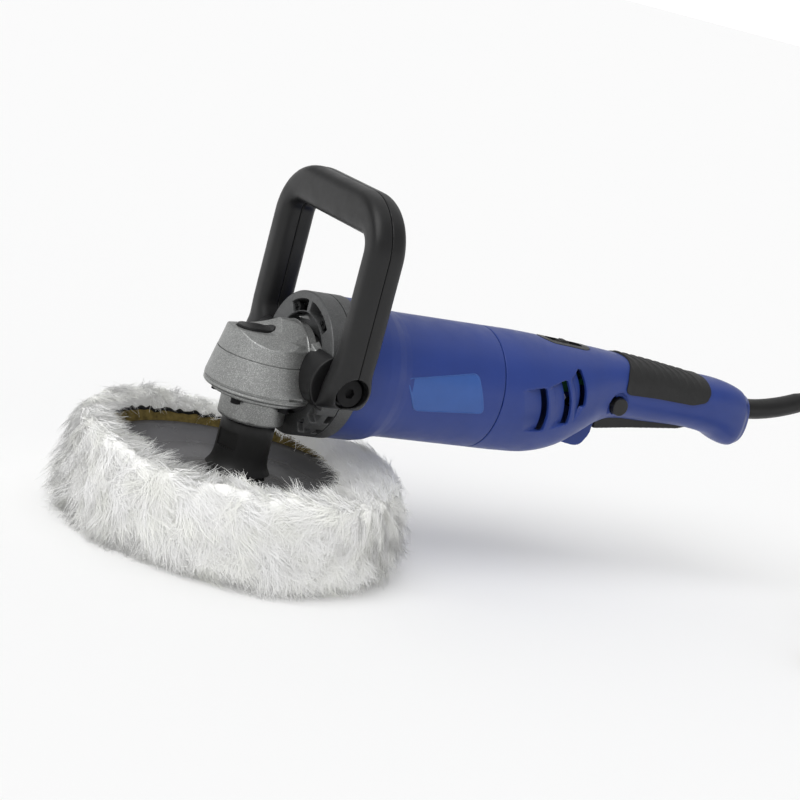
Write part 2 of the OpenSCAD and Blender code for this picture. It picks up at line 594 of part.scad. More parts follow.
module lock_on_button() color("#1a1a1a") translate([lock_on[0], -25.6, lock_on[1]]) rotate([-90, 0, 0]) union() {
    cylinder(r = 6.2, h = 9, $fn = 48);
    translate([0, 0, 8]) cylinder(r = 3, h = 8, $fn = 32);
}

// ---- Cord ----
sleeve_route = [[386, 0, 127.8], [396, 0, 127.8], [404, 0, 128.2], [412, 0, 129.2], [420, 0, 130.6],
    [428, 0, 132.4], [436, 0, 134.6], [443, 0, 136.8], [450, 0, 139.2], [456, 0, 141.4]];
sleeve_radii = [for (p = sleeve_route) p[0] < 448 ? sleeve_d / 2 : sleeve_d / 2 - (p[0] - 444) * 0.16];
cord_route = [[456, 0, 141.4], [464, -0.3, 144.2], [473, -1.4, 146.6], [483, -4, 147], [493, -8.6, 145],
    [502, -15, 140.2], [510, -23, 132.6], [517, -32, 122.4], [523, -41.4, 110], [528.4, -50.6, 96],
    [533.4, -60, 81], [538, -69.4, 66], [542, -79, 52], [545.4, -89, 40.6], [548, -99.6, 32.4],
    [549.6, -110.4, 28.4]];
coil_at = [500, -125];
plug_route = [[471, -175.4, 4.2], [464, -175.6, 5], [456, -175.8, 7.4], [448, -176.2, 11], [440, -176.5, 14.4],
    [432, -176.6, 16.8], [426, -176.6, 17.5], [422.2, -176.6, 17.6]];
plug_x = 422;
plug_y = -176.6;
plug_z = 17.6;
module cord_sleeve() color("#161616") difference() {
    sweep(sleeve_route, sleeve_radii, 24);
    translate([380, 0, 127.8]) rotate([0, 90, 0]) cylinder(r = cord_d / 2, h = 12);
}
module cord_clamp() color("#2a2a2a") difference() {
    translate([374, -12, 124]) cube([8, 24, 3.6]);
    for (s = [-1, 1]) translate([378, s * 8.6, 120]) cylinder(r = 1.4, h = 10, $fn = 24);
}
module clamp_screws() color("dimgray") for (s = [-1, 1])
    translate([378, s * 8.6, 127.6]) pan_screw(2.6, 1.8, 1.3, 3.5);
module cord() color("#161616") union() {
    sweep(cord_route, same(cord_d / 2, cord_route), 12);
    sweep(plug_route, same(cord_d / 2, plug_route), 12);
}
module cord_coil() color("#161616") translate([coil_at[0], coil_at[1], 0]) rotate_extrude()
    polygon([[coil_r - 2 * cord_d, 1.5], [coil_r - 2 * cord_d + 1.5, 0], [coil_r - 1.5, 0], [coil_r, 1.5],
        [coil_r, 3 * cord_d - 1.5], [coil_r - 1.5, 3 * cord_d], [coil_r - 2 * cord_d + 1.5, 3 * cord_d],
        [coil_r - 2 * cord_d, 3 * cord_d - 1.5]]);
module cord_tie() color("#303030") translate([coil_at[0], coil_at[1] + coil_r - cord_d, 0]) difference() {
    translate([-4, -cord_d - 1.6, 0]) cube([8, 2 * cord_d + 3.2, 3 * cord_d + 1.2]);
    translate([-5, -cord_d - 0.5, -1]) cube([10, 2 * cord_d + 1, 3 * cord_d + 1.02]);
}
module plug_body() color("#181818") translate([plug_x, plug_y, plug_z]) rotate([0, -90, 0]) rotate_extrude()
    polygon([[0, 0], [6.5, 0], [8, 8], [11, 14], [16, 18], [17.6, 21], [17.6, 42], [0, 42]]);
module plug_pins() color("gold") for (s = [-1, 1]) translate([plug_x - 42, plug_y + s * 9.5, plug_z]) rotate([0, -90, 0])
    union() {
        cylinder(r = 2.4, h = 17.5, $fn = 32);
        translate([0, 0, 17.5]) cylinder(r1 = 2.4, r2 = 1.2, h = 1.5, $fn = 32);
    }

gear_case();
bearing_cap();
cap_screws();
spindle_seal();
lower_bearing();
upper_bearing();
lock_button();
lock_spring();
bearing_shield();
case_screws();
front_bearing();
rear_bearing();
motor_housing();
label_panel();
stator_core();
field_coils();
brush_holders();
carbon_brushes();
brush_springs();
armature_shaft();
pinion();
armature_core();
armature_windings();
commutator();
cooling_fan();
spindle();
ring_gear();
gear_nut();
hub();
backing_plate();
foam_disc();
wool_pad();
loop_handle_front();
loop_handle_rear();
loop_bolts();
handle_shell_left();
handle_shell_right();
shell_screws();
grip_left();
grip_right();
dial_bezel();
speed_dial();
speed_module();
switch_body();
trigger();
trigger_pin();
trigger_spring();
lock_on_button();
cord_sleeve();
cord_clamp();
clamp_screws();
cord();
cord_coil();
cord_tie();
plug_body();
plug_pins();
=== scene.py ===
import json
import math

import bmesh
import bpy
import numpy as np
from mathutils import Matrix, Vector


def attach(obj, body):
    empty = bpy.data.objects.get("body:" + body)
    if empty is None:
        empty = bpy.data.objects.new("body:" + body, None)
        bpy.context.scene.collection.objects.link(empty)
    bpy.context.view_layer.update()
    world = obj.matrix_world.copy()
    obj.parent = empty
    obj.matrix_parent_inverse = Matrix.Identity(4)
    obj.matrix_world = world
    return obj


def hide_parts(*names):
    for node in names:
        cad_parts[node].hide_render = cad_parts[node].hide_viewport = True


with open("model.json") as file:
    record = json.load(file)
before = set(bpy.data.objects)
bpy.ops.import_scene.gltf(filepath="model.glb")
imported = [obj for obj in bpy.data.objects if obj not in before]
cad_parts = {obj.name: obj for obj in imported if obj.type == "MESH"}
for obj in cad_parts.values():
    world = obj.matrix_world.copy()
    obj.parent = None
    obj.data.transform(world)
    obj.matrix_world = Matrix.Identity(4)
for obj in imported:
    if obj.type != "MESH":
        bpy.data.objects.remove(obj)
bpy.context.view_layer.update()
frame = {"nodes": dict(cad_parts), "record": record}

# ---- Driving sizes, in millimetres, as in the part's source ----
MM = 0.001
AXIS_Z = 118.0
MOTOR_R = 41.0
MOTOR_START, MOTOR_END = 46.0, 157.0
SHOULDER_R = 45.4
FLANGE_R, FLANGE_X, FLANGE_END = 46.0, 22.0, 36.0
HEAD_R = 34.8
CAP_R = 21.2
HUB_R = 17.3
LOBES = 6
PLATE_R = 86.0
PLATE_LOW = 34.0
HUB_LOW = PLATE_LOW + 2.6
LOOP_X, LOOP_DEPTH = 28.5, 24.5
LOOP_HALF_W, LOOP_HALF_IN = 69.0, 51.6
LOOP_TOP, LOOP_BAR, LOOP_LOW = 239.0, 26.5, 104.6
OUTER_BEND, INNER_BEND, TOE = 38.0, 8.0, 20.0
CORD_D = 8.0
SLEEVE_R = 7.3
COIL_R = 54.0
COIL_AT = (500.0, -125.0)
LOCK_X = -11.5
LOCK_ON = (265.0, 122.6)
DIAL = (220.5, 151.6)
WELD = 0.004
rng = np.random.default_rng(20260720)


# ---- Mesh helpers: points in millimetres, objects in metres ----
def make(name, points, faces):
    mesh = bpy.data.meshes.new(name)
    mesh.from_pydata((np.asarray(points, float) * MM).tolist(), [], [list(f) for f in faces])
    mesh.update()
    obj = bpy.data.objects.new(name, mesh)
    bpy.context.scene.collection.objects.link(obj)
    return obj


def clean(obj):
    """Merges doubled points and points the faces outward."""
    work = bmesh.new()
    work.from_mesh(obj.data)
    bmesh.ops.remove_doubles(work, verts=work.verts, dist=WELD * MM)
    bmesh.ops.recalc_face_normals(work, faces=work.faces)
    work.to_mesh(obj.data)
    work.free()
    return obj


def soften(points, radius, steps=4, closed=True):
    """An outline with its corners turned into short curves."""
    pts = [np.array(p, float) for p in points]
    out = []
    for i, p in enumerate(pts):
        if not closed and i in (0, len(pts) - 1):
            out.append(p)
            continue
        a, b = pts[i - 1] - p, pts[(i + 1) % len(pts)] - p
        ra, rb = (min(radius, np.linalg.norm(v) * 0.45) for v in (a, b))
        a, b = a / (np.linalg.norm(a) + 1e-9) * ra, b / (np.linalg.norm(b) + 1e-9) * rb
        if np.linalg.norm(np.cross(np.append(a, 0), np.append(b, 0))) < 1e-4:
            out.append(p)
            continue
        for k in range(steps + 1):
            t = k / steps
            out.append(p + a * (1 - t) ** 2 + b * t ** 2)
    return out


def densify(outline, step):
    """A closed outline with extra points along its longer sides."""
    dense = []
    for a, b in zip(outline, outline[1:] + outline[:1]):
        count = max(1, int(np.linalg.norm(b - a) / step))
        dense += [a + (b - a) * k / count for k in range(count)]
    return dense


def ring_at(r, t, z):
    """Points at the angles t round the spindle's axis; radius and height may vary with the angle."""
    return np.column_stack([r * np.cos(t), r * np.sin(t), z + 0 * t])


def grid_faces(rows, columns, wrap_rows=False, wrap_columns=True):
    faces = []
    for i in range(rows if wrap_rows else rows - 1):
        for j in range(columns if wrap_columns else columns - 1):
            n, m = (i + 1) % rows, (j + 1) % columns
            faces.append((i * columns + j, i * columns + m, n * columns + m, n * columns + j))
    return faces


def lathe(name, profile, axis="z", at=(0, 0, 0), steps=144, closed=True):
    """Turns (radius, height) points about an axis."""
    turns = np.linspace(0, 2 * math.pi, steps, endpoint=False)
    r, h = (np.array([p[k] for p in profile], float)[:, None] for k in (0, 1))
    u, v, w = r * np.cos(turns), r * np.sin(turns), h + 0 * turns
    if axis == "z":
        pts = np.stack([u, v, w], -1)
    elif axis == "x":
        pts = np.stack([w, u, v], -1)
    else:
        pts = np.stack([v, w, u], -1)
    pts = pts.reshape(-1, 3) + np.array(at, float)
    return clean(make(name, pts, grid_faces(len(profile), steps, wrap_rows=closed)))


def loft(name, rings, caps=True, wrap=False):
    count = len(rings[0])
    faces = grid_faces(len(rings), count, wrap_rows=wrap)
    if caps and not wrap:
        faces.append(tuple(range(count))[::-1])
        faces.append(tuple(range((len(rings) - 1) * count, len(rings) * count)))
    return clean(make(name, np.concatenate([np.asarray(r, float) for r in rings]), faces))


def block(name, low, high):
    x, y, z = zip(low, high)
    pts = [(x[i & 1], y[i >> 1 & 1], z[i >> 2]) for i in range(8)]
    faces = [(0, 2, 3, 1), (4, 5, 7, 6), (0, 1, 5, 4), (2, 6, 7, 3), (0, 4, 6, 2), (1, 3, 7, 5)]
    return clean(make(name, pts, faces))


def about_motor(name, profile, steps):
    """Turns (radius, x) points about the motor's axis."""
    return lathe(name, profile, "x", (0, 0, AXIS_Z), steps)


def circle(centre, side, other, radius, steps):
    return [centre + (side * math.cos(t) + other * math.sin(t)) * radius
            for t in np.linspace(0, 2 * math.pi, steps, endpoint=False)]


def rod(name, start, end, radius, steps=64):
    """A straight round bar between two points."""
    a, b = Vector(start), Vector(end)
    d = (b - a).normalized()
    side = d.orthogonal().normalized()
    return loft(name, [circle(p, side, d.cross(side), radius, steps) for p in (a, b)])


def prism(name, outline, y_low, y_high):
    """An (x, z) outline extruded across the body."""
    rings = [[(p[0], y, p[1]) for p in outline] for y in (y_low, y_high)]
    return loft(name, rings)


def settle(obj):
    """Applies the object's modifiers to its mesh."""
    graph = bpy.context.evaluated_depsgraph_get()
    mesh = bpy.data.meshes.new_from_object(obj.evaluated_get(graph))
    obj.modifiers.clear()
    obj.data = mesh
    return obj


def boolean(obj, tools, operation="DIFFERENCE"):
    for tool in tools if isinstance(tools, (list, tuple)) else [tools]:
        step = obj.modifiers.new("boolean", "BOOLEAN")
        step.object, step.operation, step.solver = tool, operation, "MANIFOLD"
        settle(obj)
        bpy.data.objects.remove(tool)
    return obj


def moulded(obj, voxel, passes=4):
    """Gives a solid the small even fillets of a casting or moulding."""
    step = obj.modifiers.new("remesh", "REMESH")
    step.mode, step.voxel_size = "VOXEL", voxel * MM * 1
    smooth = obj.modifiers.new("smooth", "SMOOTH")
    smooth.factor, smooth.iterations = 0.5, passes
    return settle(obj)


def split_sides(solid, name, slot, node, gap, sharp):
    """Cuts a solid along the middle plane into its left and right pieces, and removes it."""
    for side, hand in ((-1, "left"), (1, "right")):
        half = solid.copy()
        half.data = solid.data.copy()
        half.name = name + hand
        bpy.context.scene.collection.objects.link(half)
        edges = sorted((side * gap, side * 90))
        boolean(half, block("half", (100, edges[0], 40), (450, edges[1], 200)), "INTERSECT")
        piece(half, "root", slot, node + hand, sharp=sharp)
    bpy.data.objects.remove(solid)


def piece(obj, body, slot, *nodes, material=None, sharp=None):
    """Finishes a visible piece: shading, the material its slot names, its body, and hides the CAD nodes it
    stands for.
    """
    obj.data.polygons.foreach_set("use_smooth", [True] * len(obj.data.polygons))
    if sharp is not None:
        work = bmesh.new()
        work.from_mesh(obj.data)
        for edge in work.edges:
            if len(edge.link_faces) == 2 and edge.calc_face_angle(0) > math.radians(sharp):
                edge.smooth = False
        work.to_mesh(obj.data)
        work.free()
    obj.data.materials.clear()
    obj.data.materials.append(material or LOOKS[slot])
    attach(obj, body)
    if nodes:
        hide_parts(*nodes)
    return obj


# ---- Materials ----
def surface(name, color, roughness, metallic=0.0, mottle=0.08, mottle_size=9.0, grain=0.0, grain_size=0.5,
            spread=0.06, sparkle=0.0, sparkle_size=0.35, streak=None, **sockets):
    """A procedural finish: mottled colour, uneven roughness, grain, sparkle and streaks. Sizes are in mm."""
    mat = bpy.data.materials.new(name)
    mat.use_nodes = True
    nodes, links = mat.node_tree.nodes, mat.node_tree.links
    shader = nodes["Principled BSDF"]
    shader.inputs["Metallic"].default_value = metallic
    for socket, value in sockets.items():
        shader.inputs[socket.replace("_", " ")].default_value = value
    where = nodes.new("ShaderNodeTexCoord").outputs["Object"]
    if streak:
        squeeze = nodes.new("ShaderNodeMapping")
        squeeze.inputs["Scale"].default_value = streak
        links.new(where, squeeze.inputs["Vector"])
        fine_place = squeeze.outputs["Vector"]
    else:
        fine_place = where

    def noise_of(size, detail=3.0, place=where, rough=0.55):
        tex = nodes.new("ShaderNodeTexNoise")
        tex.inputs["Scale"].default_value = 1 / (size * MM)
        tex.inputs["Detail"].default_value = detail
        tex.inputs["Roughness"].default_value = rough
        links.new(place, tex.inputs["Vector"])
        return tex.outputs["Fac"]

    def spread_of(value, low, high, out_low, out_high):
        span = nodes.new("ShaderNodeMapRange")
        for k, v in zip(("From Min", "From Max", "To Min", "To Max"), (low, high, out_low, out_high)):
            span.inputs[k].default_value = v
        links.new(value, span.inputs["Value"])
        return span.outputs["Result"]

    def mixed(a, b, factor, kind="MIX"):
        mix = nodes.new("ShaderNodeMix")
        mix.data_type, mix.blend_type = "RGBA", kind
        for value, socket in ((a, mix.inputs["A"]), (b, mix.inputs["B"])):
            if hasattr(value, "links"):
                links.new(value, socket)
            else:
                socket.default_value = value
        links.new(factor, mix.inputs["Factor"])
        return mix.outputs["Result"]

    dark = [c * (1 - mottle) for c in color] + [1]
    light = [min(1, c * (1 + mottle)) for c in color] + [1]
    tone = mixed(dark, light, spread_of(noise_of(mottle_size), 0.3, 0.7, 0, 1))
    if sparkle:
        cells = nodes.new("ShaderNodeTexVoronoi")
        cells.inputs["Scale"].default_value = 1 / (sparkle_size * MM)
        links.new(where, cells.inputs["Vector"])
        glint = nodes.new("ShaderNodeSeparateColor")
        links.new(cells.outputs["Color"], glint.inputs["Color"])
        bright = [min(1, c * (1 + 2.2 * sparkle)) for c in color] + [1]
        tone = mixed(tone, bright, spread_of(glint.outputs["Red"], 0.72, 1.0, 0, 0.85))
        deep = [c * (1 - sparkle) for c in color] + [1]
        tone = mixed(tone, deep, spread_of(glint.outputs["Green"], 0.7, 1.0, 0, 0.8))
    links.new(tone, shader.inputs["Base Color"])
    rough = spread_of(noise_of(mottle_size * 0.4), 0.3, 0.7, roughness - spread, roughness + spread)
    links.new(rough, shader.inputs["Roughness"])
    if grain:
        bump = nodes.new("ShaderNodeBump")
        bump.inputs["Strength"].default_value = grain
        bump.inputs["Distance"].default_value = grain_size * MM * 0.4
        links.new(noise_of(grain_size, 2.0, fine_place), bump.inputs["Height"])
        links.new(bump.outputs["Normal"], shader.inputs["Normal"])
    return mat


FINISHES = {
    "cast_alloy": dict(color=(0.30, 0.305, 0.30), roughness=0.46, metallic=0.72, mottle=0.07, grain=0.5,
                       grain_size=0.45, sparkle=0.42),
    # A darker copy of the gear case's alloy: painted shade on the flange and the shield ring
    "cast_alloy_dark": dict(color=(0.105, 0.107, 0.108), roughness=0.5, metallic=0.55, grain=0.4,
                            grain_size=0.5, sparkle=0.25),
    "bright_alloy": dict(color=(0.30, 0.305, 0.30), roughness=0.42, metallic=0.75, grain=0.4,
                         grain_size=0.4, sparkle=0.42),
    # The bolts' steel, made near-black and non-metallic so the bolt recesses read as black holes: partly the
    # bolts' own black finish, partly painted shade
    "dark_steel": dict(color=(0.006, 0.006, 0.0065), roughness=0.6, metallic=0.0, grain=0.2,
                       grain_size=0.3, Specular_IOR_Level=0.2),
    "bearing_steel": dict(color=(0.55, 0.56, 0.58), roughness=0.22, metallic=1.0, grain=0.1,
                          streak=(1, 1, 12)),
    "spring_steel": dict(color=(0.5, 0.5, 0.52), roughness=0.28, metallic=1.0, grain=0.1),
    "shaft_steel": dict(color=(0.42, 0.43, 0.45), roughness=0.3, metallic=1.0, grain=0.15,
                        streak=(12, 1, 1)),
    "lamination_steel": dict(color=(0.2, 0.2, 0.21), roughness=0.45, metallic=0.8, grain=0.5,
                             grain_size=0.7, streak=(9, 0.2, 0.2)),
    "copper_wire": dict(color=(0.45, 0.17, 0.06), roughness=0.32, metallic=0.8, mottle=0.25, grain=0.7,
                        grain_size=0.8, streak=(6, 1, 1)),
    "brass": dict(color=(0.60, 0.43, 0.17), roughness=0.28, metallic=1.0, grain=0.1, grain_size=0.4),
    "carbon": dict(color=(0.03, 0.03, 0.03), roughness=0.6, metallic=0.1, grain=0.4),
    "black_plastic": dict(color=(0.011, 0.011, 0.0115), roughness=0.42, mottle=0.12, grain=0.25,
                          grain_size=0.35, Specular_IOR_Level=0.38),
    "handle_plastic": dict(color=(0.0085, 0.0085, 0.009), roughness=0.40, mottle=0.12, mottle_size=25,
                           grain=0.18, grain_size=0.4, Specular_IOR_Level=0.36),
    "blue_plastic": dict(color=(0.017, 0.042, 0.215), roughness=0.40, mottle=0.05, mottle_size=30,
                         grain=0.12, grain_size=0.4, Specular_IOR_Level=0.4),
    "label_blue": dict(color=(0.032, 0.095, 0.33), roughness=0.34, mottle=0.04, mottle_size=12,
                       grain=0.05, Specular_IOR_Level=0.4),
    "rubber": dict(color=(0.012, 0.012, 0.012), roughness=0.55, grain=0.3, Specular_IOR_Level=0.35),
    "black_rubber": dict(color=(0.0075, 0.0075, 0.0075), roughness=0.44, mottle=0.15, grain=0.2,
                         grain_size=0.5, Specular_IOR_Level=0.36),
    "grip_rubber": dict(color=(0.013, 0.013, 0.013), roughness=0.6, mottle=0.12, grain=0.4,
                        grain_size=0.3, Specular_IOR_Level=0.4),
    "plate_plastic": dict(color=(0.085, 0.084, 0.090), roughness=0.24, mottle=0.10, mottle_size=35,
                          grain=0.06, grain_size=0.8, spread=0.05),
    "foam": dict(color=(0.20, 0.150, 0.048), roughness=0.85, mottle=0.4, mottle_size=5, grain=0.9,
                 grain_size=0.9, Specular_IOR_Level=0.2),
    # The wool's emission is a faint painted glow that lifts its shade
    "wool": dict(color=(0.93, 0.93, 0.905), roughness=0.9, mottle=0.03, mottle_size=22, grain=0.6,
                 grain_size=1.0, spread=0.05, Specular_IOR_Level=0.2,
                 Emission_Color=(0.9, 0.9, 0.87, 1), Emission_Strength=0.14),
    "circuit_green": dict(color=(0.03, 0.14, 0.06), roughness=0.35, grain=0.2),
    "cord_black": dict(color=(0.009, 0.009, 0.0095), roughness=0.36, mottle=0.1, grain=0.12,
                       grain_size=0.5, Specular_IOR_Level=0.4),
}
LOOKS = {name: surface(name, **finish) for name, finish in FINISHES.items()}
for node, slot_name in [(s["node"], s["material_slot"]) for s in frame["record"]["subparts"]]:
    cad = frame["nodes"][node]
    cad.data.materials.clear()
    cad.data.materials.append(LOOKS[slot_name])

# ---- Camera: the photograph's azimuth, elevation, roll and distance ----
AZIMUTH, ELEVATION, ROLL = (math.radians(a) for a in (-33.2, 12.3, 15.1))
TARGET = Vector((105.9, 0, 101.9)) * MM
DISTANCE = 1358.4 * MM


def add_camera():
    back = Vector((math.sin(AZIMUTH) * math.cos(ELEVATION), -math.cos(AZIMUTH) * math.cos(ELEVATION),
                   math.sin(ELEVATION)))
    right = (-back).cross(Vector((0, 0, 1))).normalized()
    up = right.cross(-back)
    across = right * math.cos(ROLL) + up * math.sin(ROLL)
    upward = up * math.cos(ROLL) - right * math.sin(ROLL)
    place = Matrix((across, upward, back)).transposed().to_4x4()
    place.translation = TARGET + back * DISTANCE
    data = bpy.data.cameras.new("camera")
    data.sensor_width, data.lens = 36, 93.3
    camera = bpy.data.objects.new("camera", data)
    camera.matrix_world = place
    bpy.context.scene.collection.objects.link(camera)
    bpy.context.scene.camera = camera


add_camera()

# ---- Cord: sleeve, free run, stored coil and plug ----
SLEEVE_ROUTE = [(386, 0, 127.8), (396, 0, 127.8), (404, 0, 128.2), (412, 0, 129.2), (420, 0, 130.6),
                (428, 0, 132.4), (436, 0, 134.6), (443, 0, 136.8), (450, 0, 139.2), (456, 0, 141.4)]
CORD_ROUTE = [(456, 0, 141.4), (464, -0.3, 144.2), (473, -1.4, 146.6), (483, -4, 147), (493, -8.6, 145),
              (502, -15, 140.2), (510, -23, 132.6), (517, -32, 122.4), (523, -41.4, 110),
              (528.4, -50.6, 96), (533.4, -60, 81), (538, -69.4, 66), (542, -79, 52), (545.4, -89, 40.6),
              (548, -99.6, 32.4), (549.6, -110.4, 28.4)]
PLUG_ROUTE = [(485, -175.1, 4.1), (471, -175.4, 4.2), (464, -175.6, 5), (456, -175.8, 7.4),
              (448, -176.2, 11), (440, -176.5, 14.4), (432, -176.6, 16.8), (426, -176.6, 17.5),
              (422.2, -176.6, 17.6)]
COIL_STEP = 8


def ease(t):
    t = np.clip(t, 0, 1)
    return t * t * (3 - 2 * t)


def coil_points():
    """The wound turns: two wide and three high, each stepping to the next place at its own angle."""
    outer, inner = COIL_R - CORD_D / 2, COIL_R - 1.5 * CORD_D
    low, mid, top = CORD_D / 2, 1.5 * CORD_D, 2.5 * CORD_D
    places = [(inner, top), (outer, top), (outer, mid), (inner, mid), (inner, low), (outer, low)]
    start = math.degrees(math.atan2(CORD_ROUTE[-1][1] - COIL_AT[1], CORD_ROUTE[-1][0] - COIL_AT[0]))
    travel = start - (-90) + 5 * 360
    first, window = 150.0, 110.0
    hold = (travel - first) / len(places)
    points = []
    for a in np.arange(COIL_STEP, travel + 1, COIL_STEP):
        # the run comes down just inside the coil's rim, at the height of its top turn
        r, z = 51.7, CORD_ROUTE[-1][2]
        r += (inner - r) * ease(a / 80)
        z += (top - z) * ease((a - 20) / 90)
        for k in range(1, len(places)):
            t = ease((a - first - hold * k + window / 2) / window)
            r += (places[k][0] - places[k - 1][0]) * t
            z += (places[k][1] - places[k - 1][1]) * t
        angle = math.radians(start - a)
        points.append((COIL_AT[0] + r * math.cos(angle), COIL_AT[1] + r * math.sin(angle), z))
    return points


def tube_curve(name, points, radius):
    data = bpy.data.curves.new(name, "CURVE")
    data.dimensions, data.bevel_depth, data.bevel_resolution = "3D", radius * MM, 6
    data.resolution_u, data.use_fill_caps = 4, True
    spline = data.splines.new("POLY")
    spline.points.add(len(points) - 1)
    for place, p in zip(spline.points, points):
        place.co = (p[0] * MM, p[1] * MM, p[2] * MM, 1)
    spline.use_smooth = True
    obj = bpy.data.objects.new(name, data)
    bpy.context.scene.collection.objects.link(obj)
    return obj


def through(points, step=3.0):
    """A smooth line through given points, at even steps."""
    p = np.array(points, float)
    p = np.vstack([2 * p[0] - p[1], p, 2 * p[-1] - p[-2]])
    out = []
    for i in range(1, len(p) - 2):
        a, b, c, d = p[i - 1:i + 3]
        count = max(1, int(np.linalg.norm(c - b) / step))
        for k in range(count):
            t = k / count
            out.append(0.5 * ((2 * b) + (c - a) * t + (2 * a - 5 * b + 4 * c - d) * t ** 2
                              + (3 * b - a - 3 * c + d) * t ** 3))
    out.append(p[-2])
    return out


def tapered_tube(name, points, radii, sides=48):
    rings = []
    pts = [Vector(p) for p in points]
    for i, p in enumerate(pts):
        d = (pts[min(i + 1, len(pts) - 1)] - pts[max(i - 1, 0)]).normalized()
        side = Vector((0, 0, 1)).cross(d).normalized()
        rings.append(circle(p, side, d.cross(side), radii[i], sides))
    return loft(name, rings)


def add_cord():
    line = through(CORD_ROUTE + coil_points() + PLUG_ROUTE)
    cord = tube_curve("mains_cord", line, CORD_D / 2)
    cord.data.materials.append(LOOKS["cord_black"])
    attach(cord, "root")
    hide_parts("cord", "cord_coil")
    return cord


def add_plug():
    """The plug's moulding, with three grip grooves where the cord enters."""
    at = (422.0, *PLUG_ROUTE[-1][1:])
    profile = [(0, 0), (6.2, 0), (7.2, 6), (8.2, 9), (10.2, 14), (15, 18.2), (17.6, 22), (17.6, 41),
               (16.8, 42), (0, 42)]
    body = lathe("plug_moulding", [(r, -h) for r, h in soften(profile, 1.4, 4)], "x", at, 96)
    for k in range(3):
        high, low, floor = -2 - 3.2 * k, -3.4 - 3.2 * k, 6.0 + 0.5 * k
        cut = [(7, high), (20, high), (20, low), (floor, low), (floor, high)]
        boolean(body, lathe("groove", cut, "x", at, 96))
    moulded(body, 0.6, 4)
    return piece(body, "root", "black_rubber", "plug_body")


def add_tie():
    """A soft strap round one side of the coil."""
    at = np.array([COIL_AT[0], COIL_AT[1] + COIL_R - CORD_D, 0])
    low, high, half = 1.35, 3 * CORD_D + 0.9, CORD_D + 0.9
    path = soften([(-half, low), (half, low), (half, high), (-half, high)], 4.0, 6)
    centre = np.mean(path, 0)
    rings = []
    for grow, x in ((0, -4.5), (0, 4.5), (1.1, 4.5), (1.1, -4.5)):
        rings.append([at + (x, *(p + (p - centre) / np.linalg.norm(p - centre) * grow)) for p in path])
    strap = loft("cord_strap", rings, wrap=True)
    return piece(strap, "root", "black_plastic", "cord_tie", sharp=40)


def add_sleeve():
    """The strain relief, which narrows towards its end."""
    line = through(SLEEVE_ROUTE, 1.0)
    radii = [SLEEVE_R - 0.15 * max(0, p[0] - 444) for p in line]
    sleeve = tapered_tube("strain_relief", line, radii, 64)
    piece(sleeve, "root", "black_rubber", "cord_sleeve", sharp=50)


cord_piece = add_cord()
plug_piece = add_plug()
strap_piece = add_tie()
add_sleeve()


# ---- Motor housing ----
def add_housing():
    """The blue barrel: a wider shoulder at the gear case, then a straight tube."""
    end = MOTOR_END - 0.25
    profile = soften([(40.2, MOTOR_START), (SHOULDER_R, MOTOR_START), (SHOULDER_R, 66), (44.4, 73),
                      (42.2, 79), (41.2, 84), (MOTOR_R, 90), (MOTOR_R, end), (38, end), (38, 120), (38, 66),
                      (40.2, 60)], 0.9, 4)
    housing = about_motor("motor_shell", densify(profile, 4), 220)
    piece(housing, "root", "blue_plastic", "motor_housing", sharp=50)


# The label's corners, as (x, height above the motor's axis)
LABEL = [(80, 9), (135, 18), (145, -8), (91.5, -12)]


def add_label():
    """A blank inlay with a raised rim, following the housing's curve on the near side."""
    edge = np.array(densify(soften(LABEL, 4.5, 7), 1.2))
    middle = edge.mean(0)
    steps = [(0.985, -1.2), (0.995, 0.02), (0.992, 0.34), (0.978, 0.42), (0.962, 0.36), (0.952, 0.14)]
    steps += [(s, 0.12) for s in np.linspace(0.94, 0.04, 24)]
    rings = []
    for scale, lift in steps:
        flat = middle + (edge - middle) * scale
        radius = MOTOR_R + lift
        rings.append([(p[0], -math.sqrt(radius ** 2 - p[1] ** 2), AXIS_Z + p[1]) for p in flat])
    label = loft("blank_label", rings[::-1])
    piece(label, "root", "label_blue", "label_panel", sharp=60)


add_housing()
add_label()


# ---- Rear handle: the same stations as the part's source ----
# Each row: x, bottom, top, half width, and the exponent of the rounded section
STATIONS = np.array([
    [157, 77, 159, 41.0, 1.00], [180, 77.2, 159.0, 41.0, 0.98], [203, 78.5, 158.2, 39.5, 0.96],
    [222, 84.0, 157.2, 36.0, 0.93], [238, 93.5, 156.2, 31.5, 0.90], [252, 103.0, 155.4, 27.0, 0.86],
    [268, 109.3, 154.2, 23.6, 0.80], [300, 110.3, 151.6, 21.8, 0.76], [335, 110.0, 148.0, 21.0, 0.76],
    [360, 107.0, 147.0, 20.2, 0.78], [374, 101.8, 145.0, 18.8, 0.80], [385, 99.8, 141.8, 16.4, 0.84],
    [391.5, 101.4, 138.4, 13.0, 0.88]])
HANDLE_END = 391.5


def station(x, k):
    """One column of the stations at x, on a smooth curve through them."""
    s = STATIONS
    i = int(np.clip(np.searchsorted(s[:, 0], x) - 1, 0, len(s) - 2))

    def slope(n):
        return 0 if n in (0, len(s) - 1) else (s[n + 1, k] - s[n - 1, k]) / (s[n + 1, 0] - s[n - 1, 0])

    h = s[i + 1, 0] - s[i, 0]
    t = (x - s[i, 0]) / h
    return (s[i, k] * (1 + 2 * t) * (1 - t) ** 2 + slope(i) * h * t * (1 - t) ** 2
            + s[i + 1, k] * t * t * (3 - 2 * t) + slope(i + 1) * h * t * t * (t - 1))


def stations_at(x):
    return (station(min(max(x, MOTOR_END), HANDLE_END), k) for k in (1, 2, 3, 4))


